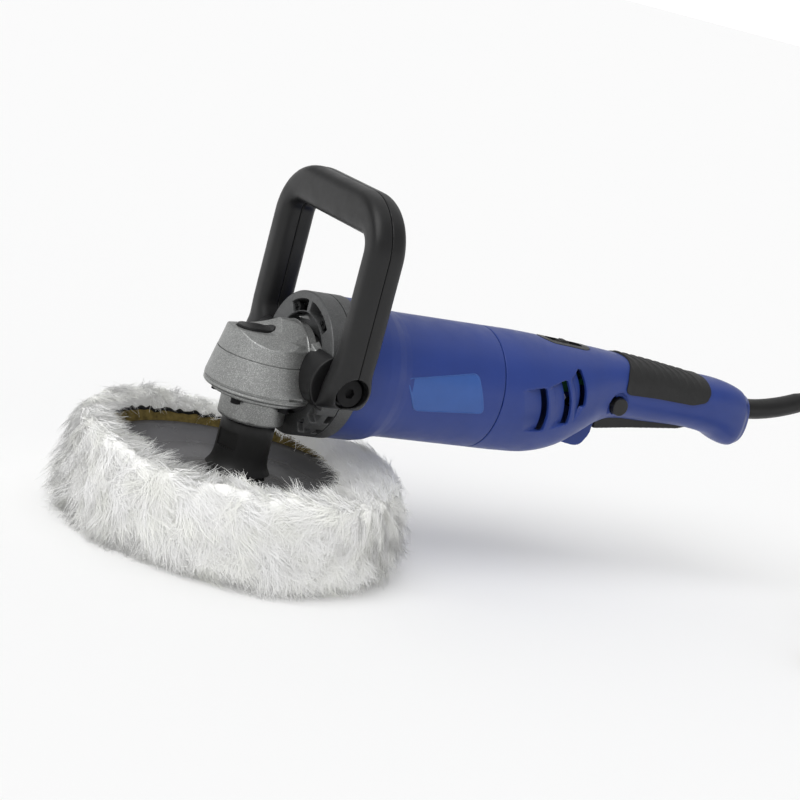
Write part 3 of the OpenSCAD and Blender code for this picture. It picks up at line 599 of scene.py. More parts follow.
def section(x, grow=0.0, angles=None):
    """The handle's cross-section at x, moved outward by grow."""
    low, high, w, e = stations_at(x)
    low, high, w = low - grow, high + grow, w + grow
    a = np.linspace(0, 2 * math.pi, 120, endpoint=False) if angles is None else angles
    c, s = np.cos(a), np.sin(a)
    return np.stack([np.full(len(a), float(x)), w * np.sign(c) * np.abs(c) ** e,
                     (low + high) / 2 + (high - low) / 2 * np.sign(s) * np.abs(s) ** e], -1)


def handle_body(name, grow, start, end, step=1.5, rounded_end=False):
    rings = [section(x, grow) for x in np.arange(start, end + 0.01, step)]
    if rounded_end:
        last = rings[-1]
        middle = last.mean(0)
        for t in (25, 50, 72):
            c, s = math.cos(math.radians(t)), math.sin(math.radians(t))
            ring = middle + (last - middle) * (0.45 + 0.55 * c)
            ring[:, 0] = end + 3.0 * s
            rings.append(ring)
    return loft(name, rings)


GUARD = [(226, 96), (234, 89.4), (247, 87.6), (252.6, 88.6), (258.2, 97), (259, 116), (236, 118)]
GRIP_OUTLINE = [(274, 172), (273, 155), (270.6, 151), (267.8, 146), (267.2, 139), (267.2, 134.4),
                (270.5, 131.8), (296, 131.5), (330, 130), (342, 133), (345.5, 140), (344, 150), (340, 172)]
# Each louvre: front corners then rear corners, the lower one first, as (x, z)
LOUVRES = [((181, 100.8), (171, 128.6), (197, 102.5), (190.5, 131.7)),
           ((201, 104.5), (191.8, 132.0), (216.5, 109.0), (208.5, 138.0)),
           ((221, 110.8), (211, 138.0), (228, 122.0), (221.5, 145.5))]
SCREWS = [(190, 86), (232, 150), (249, 113), (352, 112), (384, 108)]


def louvre_lines(corners, shares, shift=0.0):
    """Front and rear points of a louvre, from its lower end to its upper one; the rear edge bows back."""
    front_low, front_high, rear_low, rear_high = (np.array(c, float) for c in corners)
    for t in shares:
        bow = 1.6 * math.sin(math.pi * t) + shift
        yield front_low + (front_high - front_low) * t, rear_low + (rear_high - rear_low) * t + (bow, 0)


def on_skin(side, spots):
    """Points at (x, z, distance outside the handle's skin) on one side of the body."""
    return [(x, side * (skin_y(x, z) + out), z) for x, z, out in spots]


def louvre_cutters(side):
    """A ramp that deepens rearward and ends in an open slot, once for each louvre."""
    cutters = []
    for corners in LOUVRES:
        rows = []
        for front, rear in louvre_lines(corners, np.linspace(0, 1, 14)):
            ramp_end, slot_front = (rear[0] - 4.0, rear[1], -3.6), (rear[0] - 3.6, rear[1], -10)
            rows.append(on_skin(side, [(*front, 3), (*front, -0.05), ramp_end, slot_front, (*rear, -10),
                                       (*rear, 4)]))
        cutters.append(loft("louvre_cut", rows))
    return cutters


def louvre_ramps(side):
    """Thin sheets under the ramps, where they run deeper than the shell's wall."""
    sheets = []
    for corners in LOUVRES:
        rows = []
        for front, rear in louvre_lines(corners, np.linspace(-0.03, 1.03, 12), -4.0):
            start = front + (rear - front) * 0.4
            rows.append(on_skin(side, [(*start, -1.6), (*rear, -3.65), (*rear, -5.0), (*start, -3.0)]))
        sheets.append(loft("ramp", rows))
    return sheets


def skin_y(x, z):
    """Half width of the handle's body at a height."""
    low, high, w, e = stations_at(x)
    s = np.clip(abs(z - (low + high) / 2) / ((high - low) / 2), 0, 1)
    a = math.asin(s ** (1 / e))
    return w * math.cos(a) ** e


def add_rear_handle():
    solid = handle_body("handle", 0, MOTOR_END + 0.25, HANDLE_END, 1.2, rounded_end=True)
    guard = prism("guard", soften(GUARD, 3.5, 4), -9.5, 9.5)
    boolean(solid, guard, "UNION")
    for side in (-1, 1):
        boolean(solid, louvre_cutters(side))
    boolean(solid, block("trigger_slot", (259.6, -8.7, 90), (343.2, 8.7, 114)))
    x, z = LOCK_ON
    button = rod("button_well", (x, -40, z), (x, 0, z), 6.6)
    dish = rod("button_dish", (x - 1.2, -40, z + 0.2), (x - 1.2, -22.2, z + 0.2), 9.4)
    boolean(solid, [dish, button])
    boolean(solid, rod("cord_hole", (385, 0, 127.8), (420, 0, 127.8), SLEEVE_R + 0.3))
    for x, z in SCREWS:
        boolean(solid, rod("screw_well", (x, 13, z), (x, 60, z), 3.3, 32))
    moulded(solid, 0.62, 5)
    seat = prism("seat", soften(GRIP_OUTLINE, 2.5, 3), -40, 40)
    boolean(seat, handle_body("core", -1.0, 240, 362))
    boolean(solid, seat)
    boolean(solid, oval_block("dial_seat", 221.5, 42.3, 20.3, 145, 175))
    boolean(solid, handle_body("hollow", -2.6, MOTOR_END - 4, HANDLE_END - 3))
    for side in (-1, 1):
        boolean(solid, louvre_ramps(side), "UNION")
    split_sides(solid, "rear_shell_", "blue_plastic", "handle_shell_", 0.06, sharp=42)


def oval_block(name, x, length, width, z_low, z_high):
    r = width / 2
    reach = (length - width) / 2
    ends = [(x + s * reach + s * r * math.cos(t), s * r * math.sin(t))
            for s in (1, -1) for t in np.linspace(-math.pi / 2, math.pi / 2, 24)]
    return loft(name, [[(p[0], p[1], z) for p in ends] for z in (z_low, z_high)])


def add_grips():
    """Soft covers with slanting ribs over the top of the grip."""
    angles = np.linspace(-0.45, math.pi + 0.45, 150)
    xs = np.arange(256, 347, 0.45)
    rings = []
    for x in xs:
        ring = section(x, 0.85, angles=angles)
        around = np.abs(angles - math.pi / 2) / (math.pi / 2)
        wave = np.cos(2 * math.pi * (x - 266 - 9 * around) / 7.2)
        ribs = 0.55 * ease(np.array((wave + 0.25) / 1.1)) * ease((0.66 - around) / 0.26)
        fade = ease((x - 264) / 8) * ease((340 - x) / 8)
        centre = np.array([x, 0, (station(x, 1) + station(x, 2)) / 2])
        out = ring - centre
        out /= np.linalg.norm(out, axis=1)[:, None]
        rings.append(ring + out * (ribs * fade)[:, None])
    skin = [np.vstack([r, section(x, -0.98, angles=angles)[::-1]]) for r, x in zip(rings, xs)]
    cover = loft("grip", skin)
    outline = [(p[0], p[1]) for p in soften(GRIP_OUTLINE, 2.5, 4)]
    boolean(cover, prism("grip_edge", outline, -40, 40), "INTERSECT")
    split_sides(cover, "grip_cover_", "grip_rubber", "grip_", 0.04, sharp=50)


add_rear_handle()
add_grips()


# ---- Loop handle ----
def leg_in(z):
    wide = FLANGE_R + 0.8
    return wide + (LOOP_HALF_IN - wide) * ease((z - 130) / 14)


def leg_out(z):
    d = max(0, TOE - (z - LOOP_LOW))
    return LOOP_HALF_W - TOE + math.sqrt(TOE * TOE - d * d)


def foot_depth(z):
    return LOOP_DEPTH / 2 + 2.4 * (1 - ease((z - 118) / 14))


def loop_stations():
    """Inner and outer points from one foot, over the top, to the other."""
    half = [((leg_in(z), z), (leg_out(z), z)) for z in
            [LOOP_LOW + 0.02 + 0.5 * k for k in range(12)] + list(np.arange(LOOP_LOW + 6.5, 199, 2.5))]
    in_top = LOOP_TOP - LOOP_BAR
    in_x, out_x = LOOP_HALF_IN - INNER_BEND, LOOP_HALF_W - OUTER_BEND
    in_z, out_z = in_top - INNER_BEND, LOOP_TOP - OUTER_BEND
    for a in np.radians(np.arange(0, 91, 4.5)):
        c, s = math.cos(a), math.sin(a)
        half.append(((in_x + INNER_BEND * c, in_z + INNER_BEND * s),
                     (out_x + OUTER_BEND * c, out_z + OUTER_BEND * s)))
    for t in (k / 6 for k in range(1, 6)):
        half.append(((in_x * (1 - t), in_top), (out_x * (1 - t), LOOP_TOP)))
    return half + [tuple((-p[0], p[1]) for p in s) for s in half[::-1]]


def add_loop_handle():
    for sign, name in ((-1, "front"), (1, "rear")):
        rings = []
        a = np.linspace(0, math.pi, 40)
        u = np.sign(np.cos(a)) * np.abs(np.cos(a)) ** 0.62
        v = np.abs(np.sin(a)) ** 0.62
        for inner, outer in loop_stations():
            inner, outer = np.array(inner), np.array(outer)
            mid, half = (inner + outer) / 2, (outer - inner) / 2
            deep = foot_depth(mid[1])
            across = mid + half * u[:, None]
            rings.append(np.column_stack([LOOP_X + sign * (deep * v), across]))
        solid = loft("loop_" + name, rings)
        for s in (-1, 1):
            outside, inside = s * (LOOP_HALF_W + 4), s * (LOOP_HALF_W - 12.4)
            boolean(solid, rod("well", (LOOP_X, outside, AXIS_Z), (LOOP_X, inside, AXIS_Z), 10.6, 72))
        moulded(solid, 0.7, 6)
        edges = (LOOP_X - 60, LOOP_X - 0.1) if sign < 0 else (LOOP_X + 0.1, LOOP_X + 60)
        boolean(solid, block("half", (edges[0], -90, 60), (edges[1], 90, 260)), "INTERSECT")
        solid.name = "loop_handle_half_" + name
        piece(solid, "root", "handle_plastic", "loop_handle_" + name, sharp=42)


add_loop_handle()


# ---- Gear head ----
FACET_NORMAL = (-0.149, -0.443, 0.884)
FACET_AT = (11.4, -18.2, 137.9)
# Profile along the centre line, in (x, z), of the flat and the rise behind the lock button
RISE = [(-60, 136), (-9, 136), (-5, 136.7), (-1, 138.4), (1.5, 140.8), (3.2, 144.2), (3.8, 152), (-60, 152)]


def rise_at(x):
    return float(np.interp(x, [p[0] for p in RISE[1:6]], [p[1] for p in RISE[1:6]]))


def add_gear_case():
    profile = [(0, 97), (33.6, 97), (HEAD_R, 98.2), (HEAD_R, 99.2), (34.2, 99.5), (34.2, 100.1),
               (HEAD_R, 100.4), (34.7, 103), (31.2, 119.6), (30.7, 121), (28.6, 131), (26, 134), (20, 135.4),
               (0, 136)]
    head = lathe("gear_case_cast", soften(profile, 0.5, 2), "z", steps=200)
    dome = lathe("dome", [(0, 121), (30.7, 121), (28.6, 131), (27.2, 140), (26.6, 148), (0, 148)], steps=160)
    boolean(dome, block("front", (-60, -60, 100), (3.4, 60, 160)), "INTERSECT")
    profile = [(0, -8), (19, -8), (25.5, -3.5), (27, 0), (27, 14.5), (27, 16.4), (29.4, 16.6), (32, 17.4),
               (33, 18.6), (33.4, 21.9), (33, 23), (0, 23)]
    neck = about_motor("neck", soften(profile, 0.8, 3), 200)
    boolean(neck, block("below", (-60, -60, 40), (FLANGE_X + 2, 60, 97)))
    plug = about_motor("plug", [(0, 9), (27.1, 9), (28.5, 13), (31.5, 18), (33, 21.9), (0, 21.9)], 120)
    boolean(plug, block("above", (-60, -60, AXIS_Z - 2), (60, 60, 200)))
    boolean(plug, block("below", (-60, -60, 40), (60, 60, 97)))
    boolean(head, [dome, neck, plug], "UNION")
    boolean(head, prism("flat", RISE, -45, 45))
    for side in (1, -1):
        normal = Vector(FACET_NORMAL) * Vector((1, side, 1))
        foot = Vector(FACET_AT) * Vector((1, side, 1))
        boolean(head, rod("facet", foot, foot + normal * 40, 46, 96))
    boolean(head, oval_block("button_well", LOCK_X, 25.2, 17.2, 128.7, 150))
    boolean(head, block("side_slot", (5, -39, 100.6), (25, -30.5, 102.8)))
    moulded(head, 0.45, 3)
    for low, high, reach in ((120.3, 121.0, 30.0), (101.3, 101.65, 34.2)):
        groove = lathe("parting", [(reach, low), (40, low), (40, high), (reach, high)], "z", steps=160)
        boolean(head, boolean(groove, block("front", (-60, -60, 90), (12, 60, 130)), "INTERSECT"))
    crescent = about_motor("crescent", [(25.6, 16.2), (29.4, 16.2), (29.4, 40), (25.6, 40)], 120)
    boolean(head, boolean(crescent, block("upper", (0, -60, AXIS_Z + 16), (60, 60, 170)), "INTERSECT"))
    boolean(head, about_motor("shield_seat", [(0, 29.6), (18.1, 29.6), (18.1, 50), (0, 50)], 96))
    boolean(head, rod("chamber", (0, 0, 90), (0, 0, 121), 26.6, 96))
    boolean(head, rod("pinion_way", (9, 0, AXIS_Z), (32, 0, AXIS_Z), 12, 64))
    boolean(head, rod("button_bore", (LOCK_X, 0, 119), (LOCK_X, 0, 133), 4, 48))
    piece(head, "root", "cast_alloy", "gear_case", sharp=55)


def add_bosses():
    """Shoulders between the neck and the loop handle's feet, one on each side, in black handle plastic:
    painted shade on the casting.
    """
    for side, name in ((-1, "near"), (1, "far")):
        x, outside = LOOP_X - 0.6, side * (FLANGE_R + 0.6)
        boss = rod("boss", (x, side * 24, AXIS_Z), (x, outside, AXIS_Z), 18.6, 96)
        boolean(boss, block("keep", (-20, -60, 80), (FLANGE_X - 0.1, 60, 150)), "INTERSECT")
        boolean(boss, about_motor("core", [(0, -10), (27.5, -10), (27.5, 60), (0, 60)], 96))
        boolean(boss, rod("head_room", (0, 0, 90), (0, 0, 150), 27.5, 96))
        moulded(boss, 0.6, 4)
        boss.name = "painted_shade_boss_" + name
        # Black plastic where the casting lies in shade: painted shade
        piece(boss, "root", "black_plastic", material=LOOKS["handle_plastic"], sharp=50)


def fan_cutter(name, start, end, inner, outer, x_low, x_high):
    """A ring segment about the motor's axis; angles in degrees from the far side, over the top."""
    a = np.radians(np.linspace(start, end, 24))
    outline = [(r * np.cos(t), AXIS_Z + r * np.sin(t))
               for r, turn in ((inner, a), (outer, a[::-1])) for t in turn]
    return loft(name, [[(x, y, z) for y, z in outline] for x in (x_low, x_high)])


def add_flange():
    """The bolting flange, with two curved outlets over the neck and small windows low on each side."""
    end = FLANGE_END - 0.2
    profile = [(32.4, FLANGE_X), (FLANGE_R, FLANGE_X), (FLANGE_R, end), (20, end), (20, 30), (32.4, 30)]
    flange = about_motor("gear_case_flange", soften(profile, 0.7, 3), 200)
    for start, end in ((56, 86.5), (92.5, 133)):
        boolean(flange, fan_cutter("outlet", start, end, 33.2, 40.6, FLANGE_X - 4, FLANGE_X + 9))
    for side in (-1, 1):
        for x, width in ((FLANGE_X - 3, 7.5), (31, 4.2)):
            for angle in (-33, -52):
                window = block("window", (x, 39, -3.6), (x + width, 50, 3.6))
                turn = math.radians(angle if side > 0 else 180 - angle)
                lift = Matrix.Translation((0, 0, AXIS_Z * MM))
                window.matrix_world = lift @ Matrix.Rotation(turn, 4, "X")
                bpy.context.view_layer.update()
                boolean(flange, window)
    moulded(flange, 0.5, 2)
    # The flange takes the darker copy of the alloy: painted shade
    piece(flange, "root", "cast_alloy_dark", sharp=50)


def add_bearing_cap():
    """The turned cap under the gear case, with six notches round its lower edge."""
    profile = [(11, 78), (CAP_R - 1.3, 78), (CAP_R, 79.2), (CAP_R, 93.6), (29, 94), (29, 96.95), (11, 96.95)]
    cap = lathe("bearing_cap_turned", soften(profile, 0.7, 4), steps=160)
    boolean(cap, block("flat", (FLANGE_X - 0.1, -40, 60), (60, 40, 110)))
    for a in range(0, 360, 60):
        t = math.radians(a + 5)
        x, y = CAP_R * math.cos(t), CAP_R * math.sin(t)
        boolean(cap, rod("notch", (x, y, 76), (x, y, 79.6), 2.1, 32))
    moulded(cap, 0.42, 2)
    piece(cap, "root", "bright_alloy", "bearing_cap", sharp=50)


def add_shield():
    """The shield's outer rim, seen between the flange and the motor housing."""
    start, end = FLANGE_END + 0.15, MOTOR_START - 0.15
    profile = [(42, start), (FLANGE_R, start), (FLANGE_R, end), (42, end)]
    ring = about_motor("bearing_shield_ring", soften(profile, 0.5, 3), 200)
    # The ring takes the darker copy of the alloy: painted shade
    piece(ring, "root", "cast_alloy_dark", sharp=50)


def add_lock_button():
    """A long oval press button with a dished top."""
    rings = []
    reach, half = 4.0, 8.0
    t = np.linspace(0, 2 * math.pi, 72, endpoint=False)
    for scale, lift in [(1, None), (1, -0.35), (0.98, -0.05), (0.95, 0.05), (0.9, -0.05), (0.8, -0.3),
                        (0.55, -0.6), (0.3, -0.7), (0.02, -0.75)]:
        x = LOCK_X + (np.sign(np.cos(t)) * reach + half * np.cos(t)) * scale
        z = [132.0 if lift is None else rise_at(p) + lift for p in x]
        rings.append(np.column_stack([x, half * np.sin(t) * scale, z]))
    button = loft("lock_button_cap", rings)
    piece(button, "lock_button", "black_plastic", sharp=60)


add_gear_case()
add_flange()
add_bosses()
add_bearing_cap()
add_shield()
add_lock_button()


# ---- Hub, backing plate and foam ----
def add_hub():
    """The turned hub: a lobed foot, a small flange above it, and two spanner flats near its top."""
    t = np.linspace(0, 2 * math.pi, 480, endpoint=False)
    phase = (t / (2 * math.pi) * LOBES - 0.25) % 1 - 0.5
    gap = 1 - ease((np.abs(np.abs(phase) - 0.5)) / 0.13)
    rings = []
    foot = [(0.02, 36.65), (16.4, 36.65), (17.9, 37.1), (18.6, 38.4), (18.7, 40), (18.7, 41.6), (18.4, 43.2),
            (18.1, 44.2), (18.3, 44.7)]
    flange = [(20.2, 44.9), (20.9, 45.3), (20.6, 46.0), (19.4, 47.6), (18.5, 49.6), (17.8, 52.4), (17.4, 56)]
    barrel = [(HUB_R, 64), (HUB_R, 70), (17.25, 75.6), (16.6, 76.9), (15.6, 77.0)]
    bore = [(7.2, 77.0), (7.0, 76.5), (7.0, 57), (0.02, 56.6)]
    for base, z in foot + flange + barrel + bore:
        cut = gap * 4.4 * ease((base - 10) / 6) * ease((44.6 - z) / 1.4)
        rings.append(ring_at(base - cut, t, z))
    hub = loft("spindle_hub", rings)
    for k in range(2):
        a = math.radians(20 + 180 * k)
        flat = block("flat", (14.9, -8, 59), (20, 8, 70))
        flat.matrix_world = Matrix.Rotation(a, 4, "Z")
        bpy.context.view_layer.update()
        boolean(hub, flat)
    piece(hub, "spindle", "black_rubber", "hub", sharp=40)


def add_plate():
    """The dished backing plate: faint turned rings on its top, a step and a thin lip at its edge."""
    top = []
    for r in np.arange(14, PLATE_R + 0.2, 0.5):
        z = HUB_LOW + 3.4 * ease((r - 36) / 28) + 5.9 * ease((r - 60) / 27)
        for ring_r, deep, width in ((62, 0.14, 0.6), (41, 0.1, 0.6), (78, 0.1, 0.5)):
            z -= deep * math.exp(-((r - ring_r) / width) ** 2)
        top.append((r, z))
    low = PLATE_LOW + 0.05
    edge = [(0, low), (84, low), (85.6, 35.2), (87.2, 39.2), (86.8, 44.9), (86.4, 45.8)]
    profile = edge + top[::-1] + [(0, HUB_LOW)]
    plate = lathe("backing_plate_dish", profile, steps=220, closed=False)
    piece(plate, "spindle", "plate_plastic", "backing_plate", sharp=45)


def wobble(t, seed, waves=(3, 5, 8, 13, 21), fall=0.75):
    """A smooth random wave round the pad, from -1 to 1 or so."""
    pick = np.random.default_rng(seed)
    total = 0
    for k, n in enumerate(waves):
        total = total + fall ** k * np.sin(n * t + pick.uniform(0, 6.28))
    return total / sum(fall ** k for k in range(len(waves))) * 1.6


def bump_at(angle, centre, width):
    """A smooth hill round the pad: angle in radians, centre and width in degrees."""
    away = (np.degrees(angle) - centre + 180) % 360 - 180
    return np.exp(-(away / width) ** 2)


def add_foam():
    """The amber foam ring that shows above the plate, with a torn upper edge."""
    t = np.linspace(0, 2 * math.pi, 540, endpoint=False)
    torn = wobble(t, 4) * 1.1 + wobble(t, 9, (31, 47, 63)) * 0.5
    # the foam's section as radius, height and how much of the tear it takes
    profile = [(0.05, 28.2, 0), (87.6, 28.2, 0), (91.0, 33, 0), (91.3, 44, 0), (91.2, 50.6, 1),
               (90.4, 51.6, 1.3), (89.4, 51.0, 1), (88.3, 47, 0.4), (87.7, 45.8, 0), (87.7, 38.9, 0),
               (85.2, 33.9, 0), (0.05, 33.9, 0)]
    foam = loft("foam_ring", [ring_at(r, t, z + lift * torn) for r, z, lift in profile])
    edge = []
    for r, z in [(91.45, 45), (91.6, 52.6), (91.2, 53.8), (90.9, 53.8), (90.7, 52.2), (91.25, 45)]:
        ragged = torn * 1.3 + wobble(t, 17, (53, 71, 97)) * 0.7 - 4 * bump_at(t, 343, 60)
        edge.append(ring_at(r + 0.3 * wobble(t, 5), t, z + ragged * ease((z - 50) / 2)))
    cloth = loft("foam_edge_cloth", edge, wrap=True)
    piece(cloth, "spindle", "black_rubber", material=LOOKS["rubber"])
    piece(foam, "spindle", "foam", "foam_disc", sharp=60)
    return foam


add_hub()
add_plate()
foam_piece = add_foam()


# ---- Wool ----
# The fleece's section as (radius, height), from its foot to its inner rim
FLEECE = [(80, 1.2), (90, 2.5), (98, 7), (103.5, 16), (105.5, 28), (104.5, 40), (102.5, 49), (99, 55.5),
          (95.4, 57.5), (92.6, 55.5), (91.8, 52)]


def fleece_line(count):
    """Evenly spaced points and outward normals along the fleece's section."""
    pts = np.array(through([(r, z, 0) for r, z in FLEECE], 0.4))[:, :2]
    reach = np.concatenate([[0], np.cumsum(np.linalg.norm(np.diff(pts, axis=0), axis=1))])
    at = np.linspace(0, reach[-1], count)
    line = np.column_stack([np.interp(at, reach, pts[:, k]) for k in (0, 1)])
    along = np.gradient(line, axis=0)
    along /= np.linalg.norm(along, axis=1)[:, None]
    return line, np.column_stack([along[:, 1], -along[:, 0]])


def tufts(angle, height, seed, size=1.0):
    """Lumps of fleece: a sum of slanting waves over the skirt."""
    pick = np.random.default_rng(seed)
    total = 0
    for k in range(9):
        n = int(pick.integers(7, 34) / size)
        slant, start = pick.uniform(-0.16, 0.16), pick.uniform(0, 6.28)
        total = total + np.sin(n * angle + slant * height / size + start) / (1 + 0.25 * k)
    return total / 4.2


def settle_wool(angle, r, z, share):
    """The wool leans in over the plate behind the near side, and lifts off the floor in two places."""
    rim = ease((share - 0.9) / 0.1)
    r = r - (24 * bump_at(angle, 340, 44) + 4 * bump_at(angle, 190, 40)) * rim
    z = z + (9 * bump_at(angle, 138, 58) + 2 * bump_at(angle, 343, 46)) * ease((share - 0.5) / 0.3)
    z = z + 3 * bump_at(angle, 343, 46) * rim
    low = ease((32 - z) / 32)
    lift = 6 * bump_at(angle, 226, 15) + 8 * bump_at(angle, 322, 28)
    wide = 6 * bump_at(angle, 352, 32) + 2.5 * bump_at(angle, 165, 40)
    return r - 0.25 * lift * low + wide * (1 - rim) * ease(share / 0.3), z + lift * low


def lumps(angle, z):
    """How far the fleece's surface stands out, from its tufts and slow waves."""
    return tufts(angle, z, 3) * 2.3 + tufts(angle, z, 8, 0.45) * 0.8 + wobble(angle, 31, (2, 3, 5, 7)) * 2.2


def add_fleece():
    """The solid body of the fleece, under the locks."""
    rows, columns = 70, 720
    line, out = fleece_line(rows)
    t = np.linspace(0, 2 * math.pi, columns, endpoint=False)
    rings = []
    for k in range(rows):
        share = k / (rows - 1)
        lump = lumps(t, line[k, 1]) * ease(share / 0.12) * ease((1 - share) / 0.08) - 1.2
        r, z = settle_wool(t, line[k, 0] + out[k, 0] * lump, line[k, 1] + out[k, 1] * lump, share)
        rings.append(ring_at(r, t, np.maximum(z, 0.3)))
    under = []
    for r in np.linspace(2, 78, 24):
        z = 1.3 + 0.9 * tufts(t, r, 12)
        under.append(ring_at(r, t, np.maximum(z, 0.25)))
    inner = [ring_at(r, t, z) for r, z in [(91.9, 48), (91.75, 33), (88.0, 28.0), (2, 28.0)]]
    fleece = loft("wool_fleece", under + rings + inner)
    # The fleece's wool finish glows faintly: painted light
    piece(fleece, "spindle", "wool", "wool_pad")


LOCK_STEPS = 5
STRANDS_PER_LOCK = 25
STRAND_HALF_WIDTH = 0.2
LOCK_RADIUS = 5.2
# Locks in a batch: on the foot, the skirt, the rim, and the wide inner slope on the far side
LOCK_COUNTS = (24, 128, 88, 64)


def unit(v):
    return v / (np.linalg.norm(v, axis=-1, keepdims=True) + 1e-9)


def strands(name, roots, normals, flows, lengths, rise, glowing_tint):
    """Locks of wool: fine flat strands that lie along the fleece and share its shading."""
    per_lock = STRANDS_PER_LOCK
    count = len(roots)
    t = np.linspace(0, 1, LOCK_STEPS)[None, :, None]
    lean = unit(normals[:, None, :] * (rise[:, None, None] * (1 - 0.9 * t)) + flows[:, None, :])
    spine = np.cumsum(lean, axis=1) * (lengths / LOCK_STEPS)[:, None, None]
    spine = np.concatenate([0 * roots[:, None, :], spine[:, :-1]], 1)
    helper = unit(np.cross(normals, flows))
    other = np.cross(helper, normals)
    spin = rng.uniform(0, 2 * math.pi, (count, per_lock))
    off = np.sqrt(rng.uniform(0, 1, (count, per_lock))) * LOCK_RADIUS
    across, along = (np.cos(spin) * off)[..., None], (np.sin(spin) * off)[..., None]
    offset = helper[:, None] * across + other[:, None] * along
    stretch = rng.uniform(0.6, 1.15, (count, per_lock))[..., None, None]
    path = roots[:, None, None] + offset[:, :, None] * (1 - 0.4 * ease(t)[:, None])
    path = path + spine[:, None] * stretch
    phase = rng.uniform(0, 6.28, (count, per_lock, 1, 1))
    curl = rng.normal(0, 1, (count, per_lock, 1, 3)) * np.sin(t[:, None] * 4.5 + phase)
    drift = rng.normal(0, 0.24, (count, per_lock, 1, 1)) * lengths[:, None, None, None] * t[:, None] ** 1.5
    path = path + helper[:, None, None] * drift + curl * 1.1 * t[:, None]
    path = path + rng.normal(0, 0.12, path.shape) * t[:, None]
    path += normals[:, None, None] * rng.uniform(-0.8, 1.0, (count, per_lock, 1, 1))
    path = path.reshape(-1, LOCK_STEPS, 3)
    path[..., 2] = np.maximum(path[..., 2], 0.35)
    total = len(path)
    face_out = np.repeat(normals, per_lock, axis=0)[:, None]
    side = unit(np.cross(unit(np.gradient(path, axis=1)), face_out))
    girth = STRAND_HALF_WIDTH * (1 - 0.8 * t ** 1.5) * rng.uniform(0.7, 1.3, (total, 1, 1))
    corners = [path + side * girth, path - side * girth, path - face_out * girth]
    pts = np.stack(corners, 2).reshape(total, LOCK_STEPS * 3, 3)
    faces = []
    for k in range(LOCK_STEPS - 1):
        for s in range(3):
            i, j = k * 3 + s, k * 3 + (s + 1) % 3
            faces += [(j, i, i + 3), (j, i + 3, j + 3)]
    top = (LOCK_STEPS - 1) * 3
    faces = np.array(faces + [(0, 1, 2), (top, top + 2, top + 1)])
    index = (faces[None] + (np.arange(total) * LOCK_STEPS * 3)[:, None, None]).reshape(-1, 3)
    mesh = bpy.data.meshes.new(name)
    mesh.vertices.add(total * LOCK_STEPS * 3)
    mesh.vertices.foreach_set("co", (pts * MM).astype(np.float32).ravel())
    mesh.loops.add(len(index) * 3)
    mesh.loops.foreach_set("vertex_index", index.astype(np.int32).ravel())
    mesh.polygons.add(len(index))
    mesh.polygons.foreach_set("loop_start", np.arange(0, len(index) * 3, 3, dtype=np.int32))
    mesh.update(calc_edges=True)
    obj = bpy.data.objects.new(name, mesh)
    bpy.context.scene.collection.objects.link(obj)
    piece(obj, "spindle", "wool", material=glowing_tint)
    shading = unit(face_out + 0.25 * np.repeat(flows, per_lock, axis=0)[:, None])
    mesh.normals_split_custom_set_from_vertices(np.repeat(shading, LOCK_STEPS * 3, axis=1).reshape(-1, 3))


def add_wool():
    """Batches of locks in three close tints, each with a faint painted glow, rooted all over the fleece."""
    line, out = fleece_line(400)
    # Each tint's emission is a faint painted glow that lifts the locks' shade
    glowing_tints = [surface("wool_%d" % k, c, 0.85, mottle=0.04, mottle_size=18, spread=0.04,
                     Specular_IOR_Level=0.15, Emission_Color=(*c, 1), Emission_Strength=0.14)
             for k, c in enumerate([(0.94, 0.94, 0.925), (0.95, 0.95, 0.945), (0.925, 0.93, 0.885)])]
    batches = 10
    count = sum(LOCK_COUNTS)
    for batch in range(batches):
        places = ((0.0, 0.22), (0.18, 0.8), (0.76, 1.0), (0.88, 1.0))
        share = np.concatenate([rng.uniform(*span, n) for span, n in zip(places, LOCK_COUNTS)])
        slope = LOCK_COUNTS[-1]
        angle = np.concatenate([rng.uniform(0, 2 * math.pi, count - slope),
                                np.radians(rng.normal(352, 34, slope))])
        k = (share * (len(line) - 1)).astype(int)
        c, s = np.cos(angle), np.sin(angle)
        radial = np.column_stack([c, s, 0 * c])
        tangent = np.column_stack([-s, c, 0 * c])
        up = np.array([0, 0, 1])
        lump = lumps(angle, line[k, 1]) * ease(share / 0.12) * ease((1 - share) / 0.08) - 1.5
        r, z = settle_wool(angle, line[k, 0] + out[k, 0] * lump, line[k, 1] + out[k, 1] * lump, share)
        roots = radial * r[:, None] + up * z[:, None]
        rim = ease((share - 0.80) / 0.14)
        facing = out[k] * (1 - 0.45 * rim[:, None]) + np.array([0, 0.45]) * rim[:, None]
        normals = unit(radial * facing[:, :1] + up * facing[:, 1:] + rng.normal(0, 0.10, (count, 3)))
        swirl = 0.35 + wobble(angle + line[k, 1] * 0.03, 21, (2, 3, 5, 7)) * 1.2
        swirl = swirl + rng.normal(0, 0.35, count)
        down = -0.75 * (1 - rim) + 0.12 * rim
        inward = -0.95 * rim + 0.12 * (1 - rim)
        flows = unit(tangent * swirl[:, None] + radial * inward[:, None] + up * down[:, None]
                     + rng.normal(0, 0.16, (count, 3)))
        lengths = rng.uniform(15, 27, count) * (1 - 0.25 * rim) * (0.6 + 0.4 * ease(share / 0.2))
        rise = rng.uniform(0.1, 0.45, count) + 0.5 * (rng.uniform(0, 1, count) > 0.9)
        strands("wool_locks_%d" % (batch + 1), roots, normals, flows, lengths, rise, glowing_tints[batch % 3])


add_fleece()
add_wool()


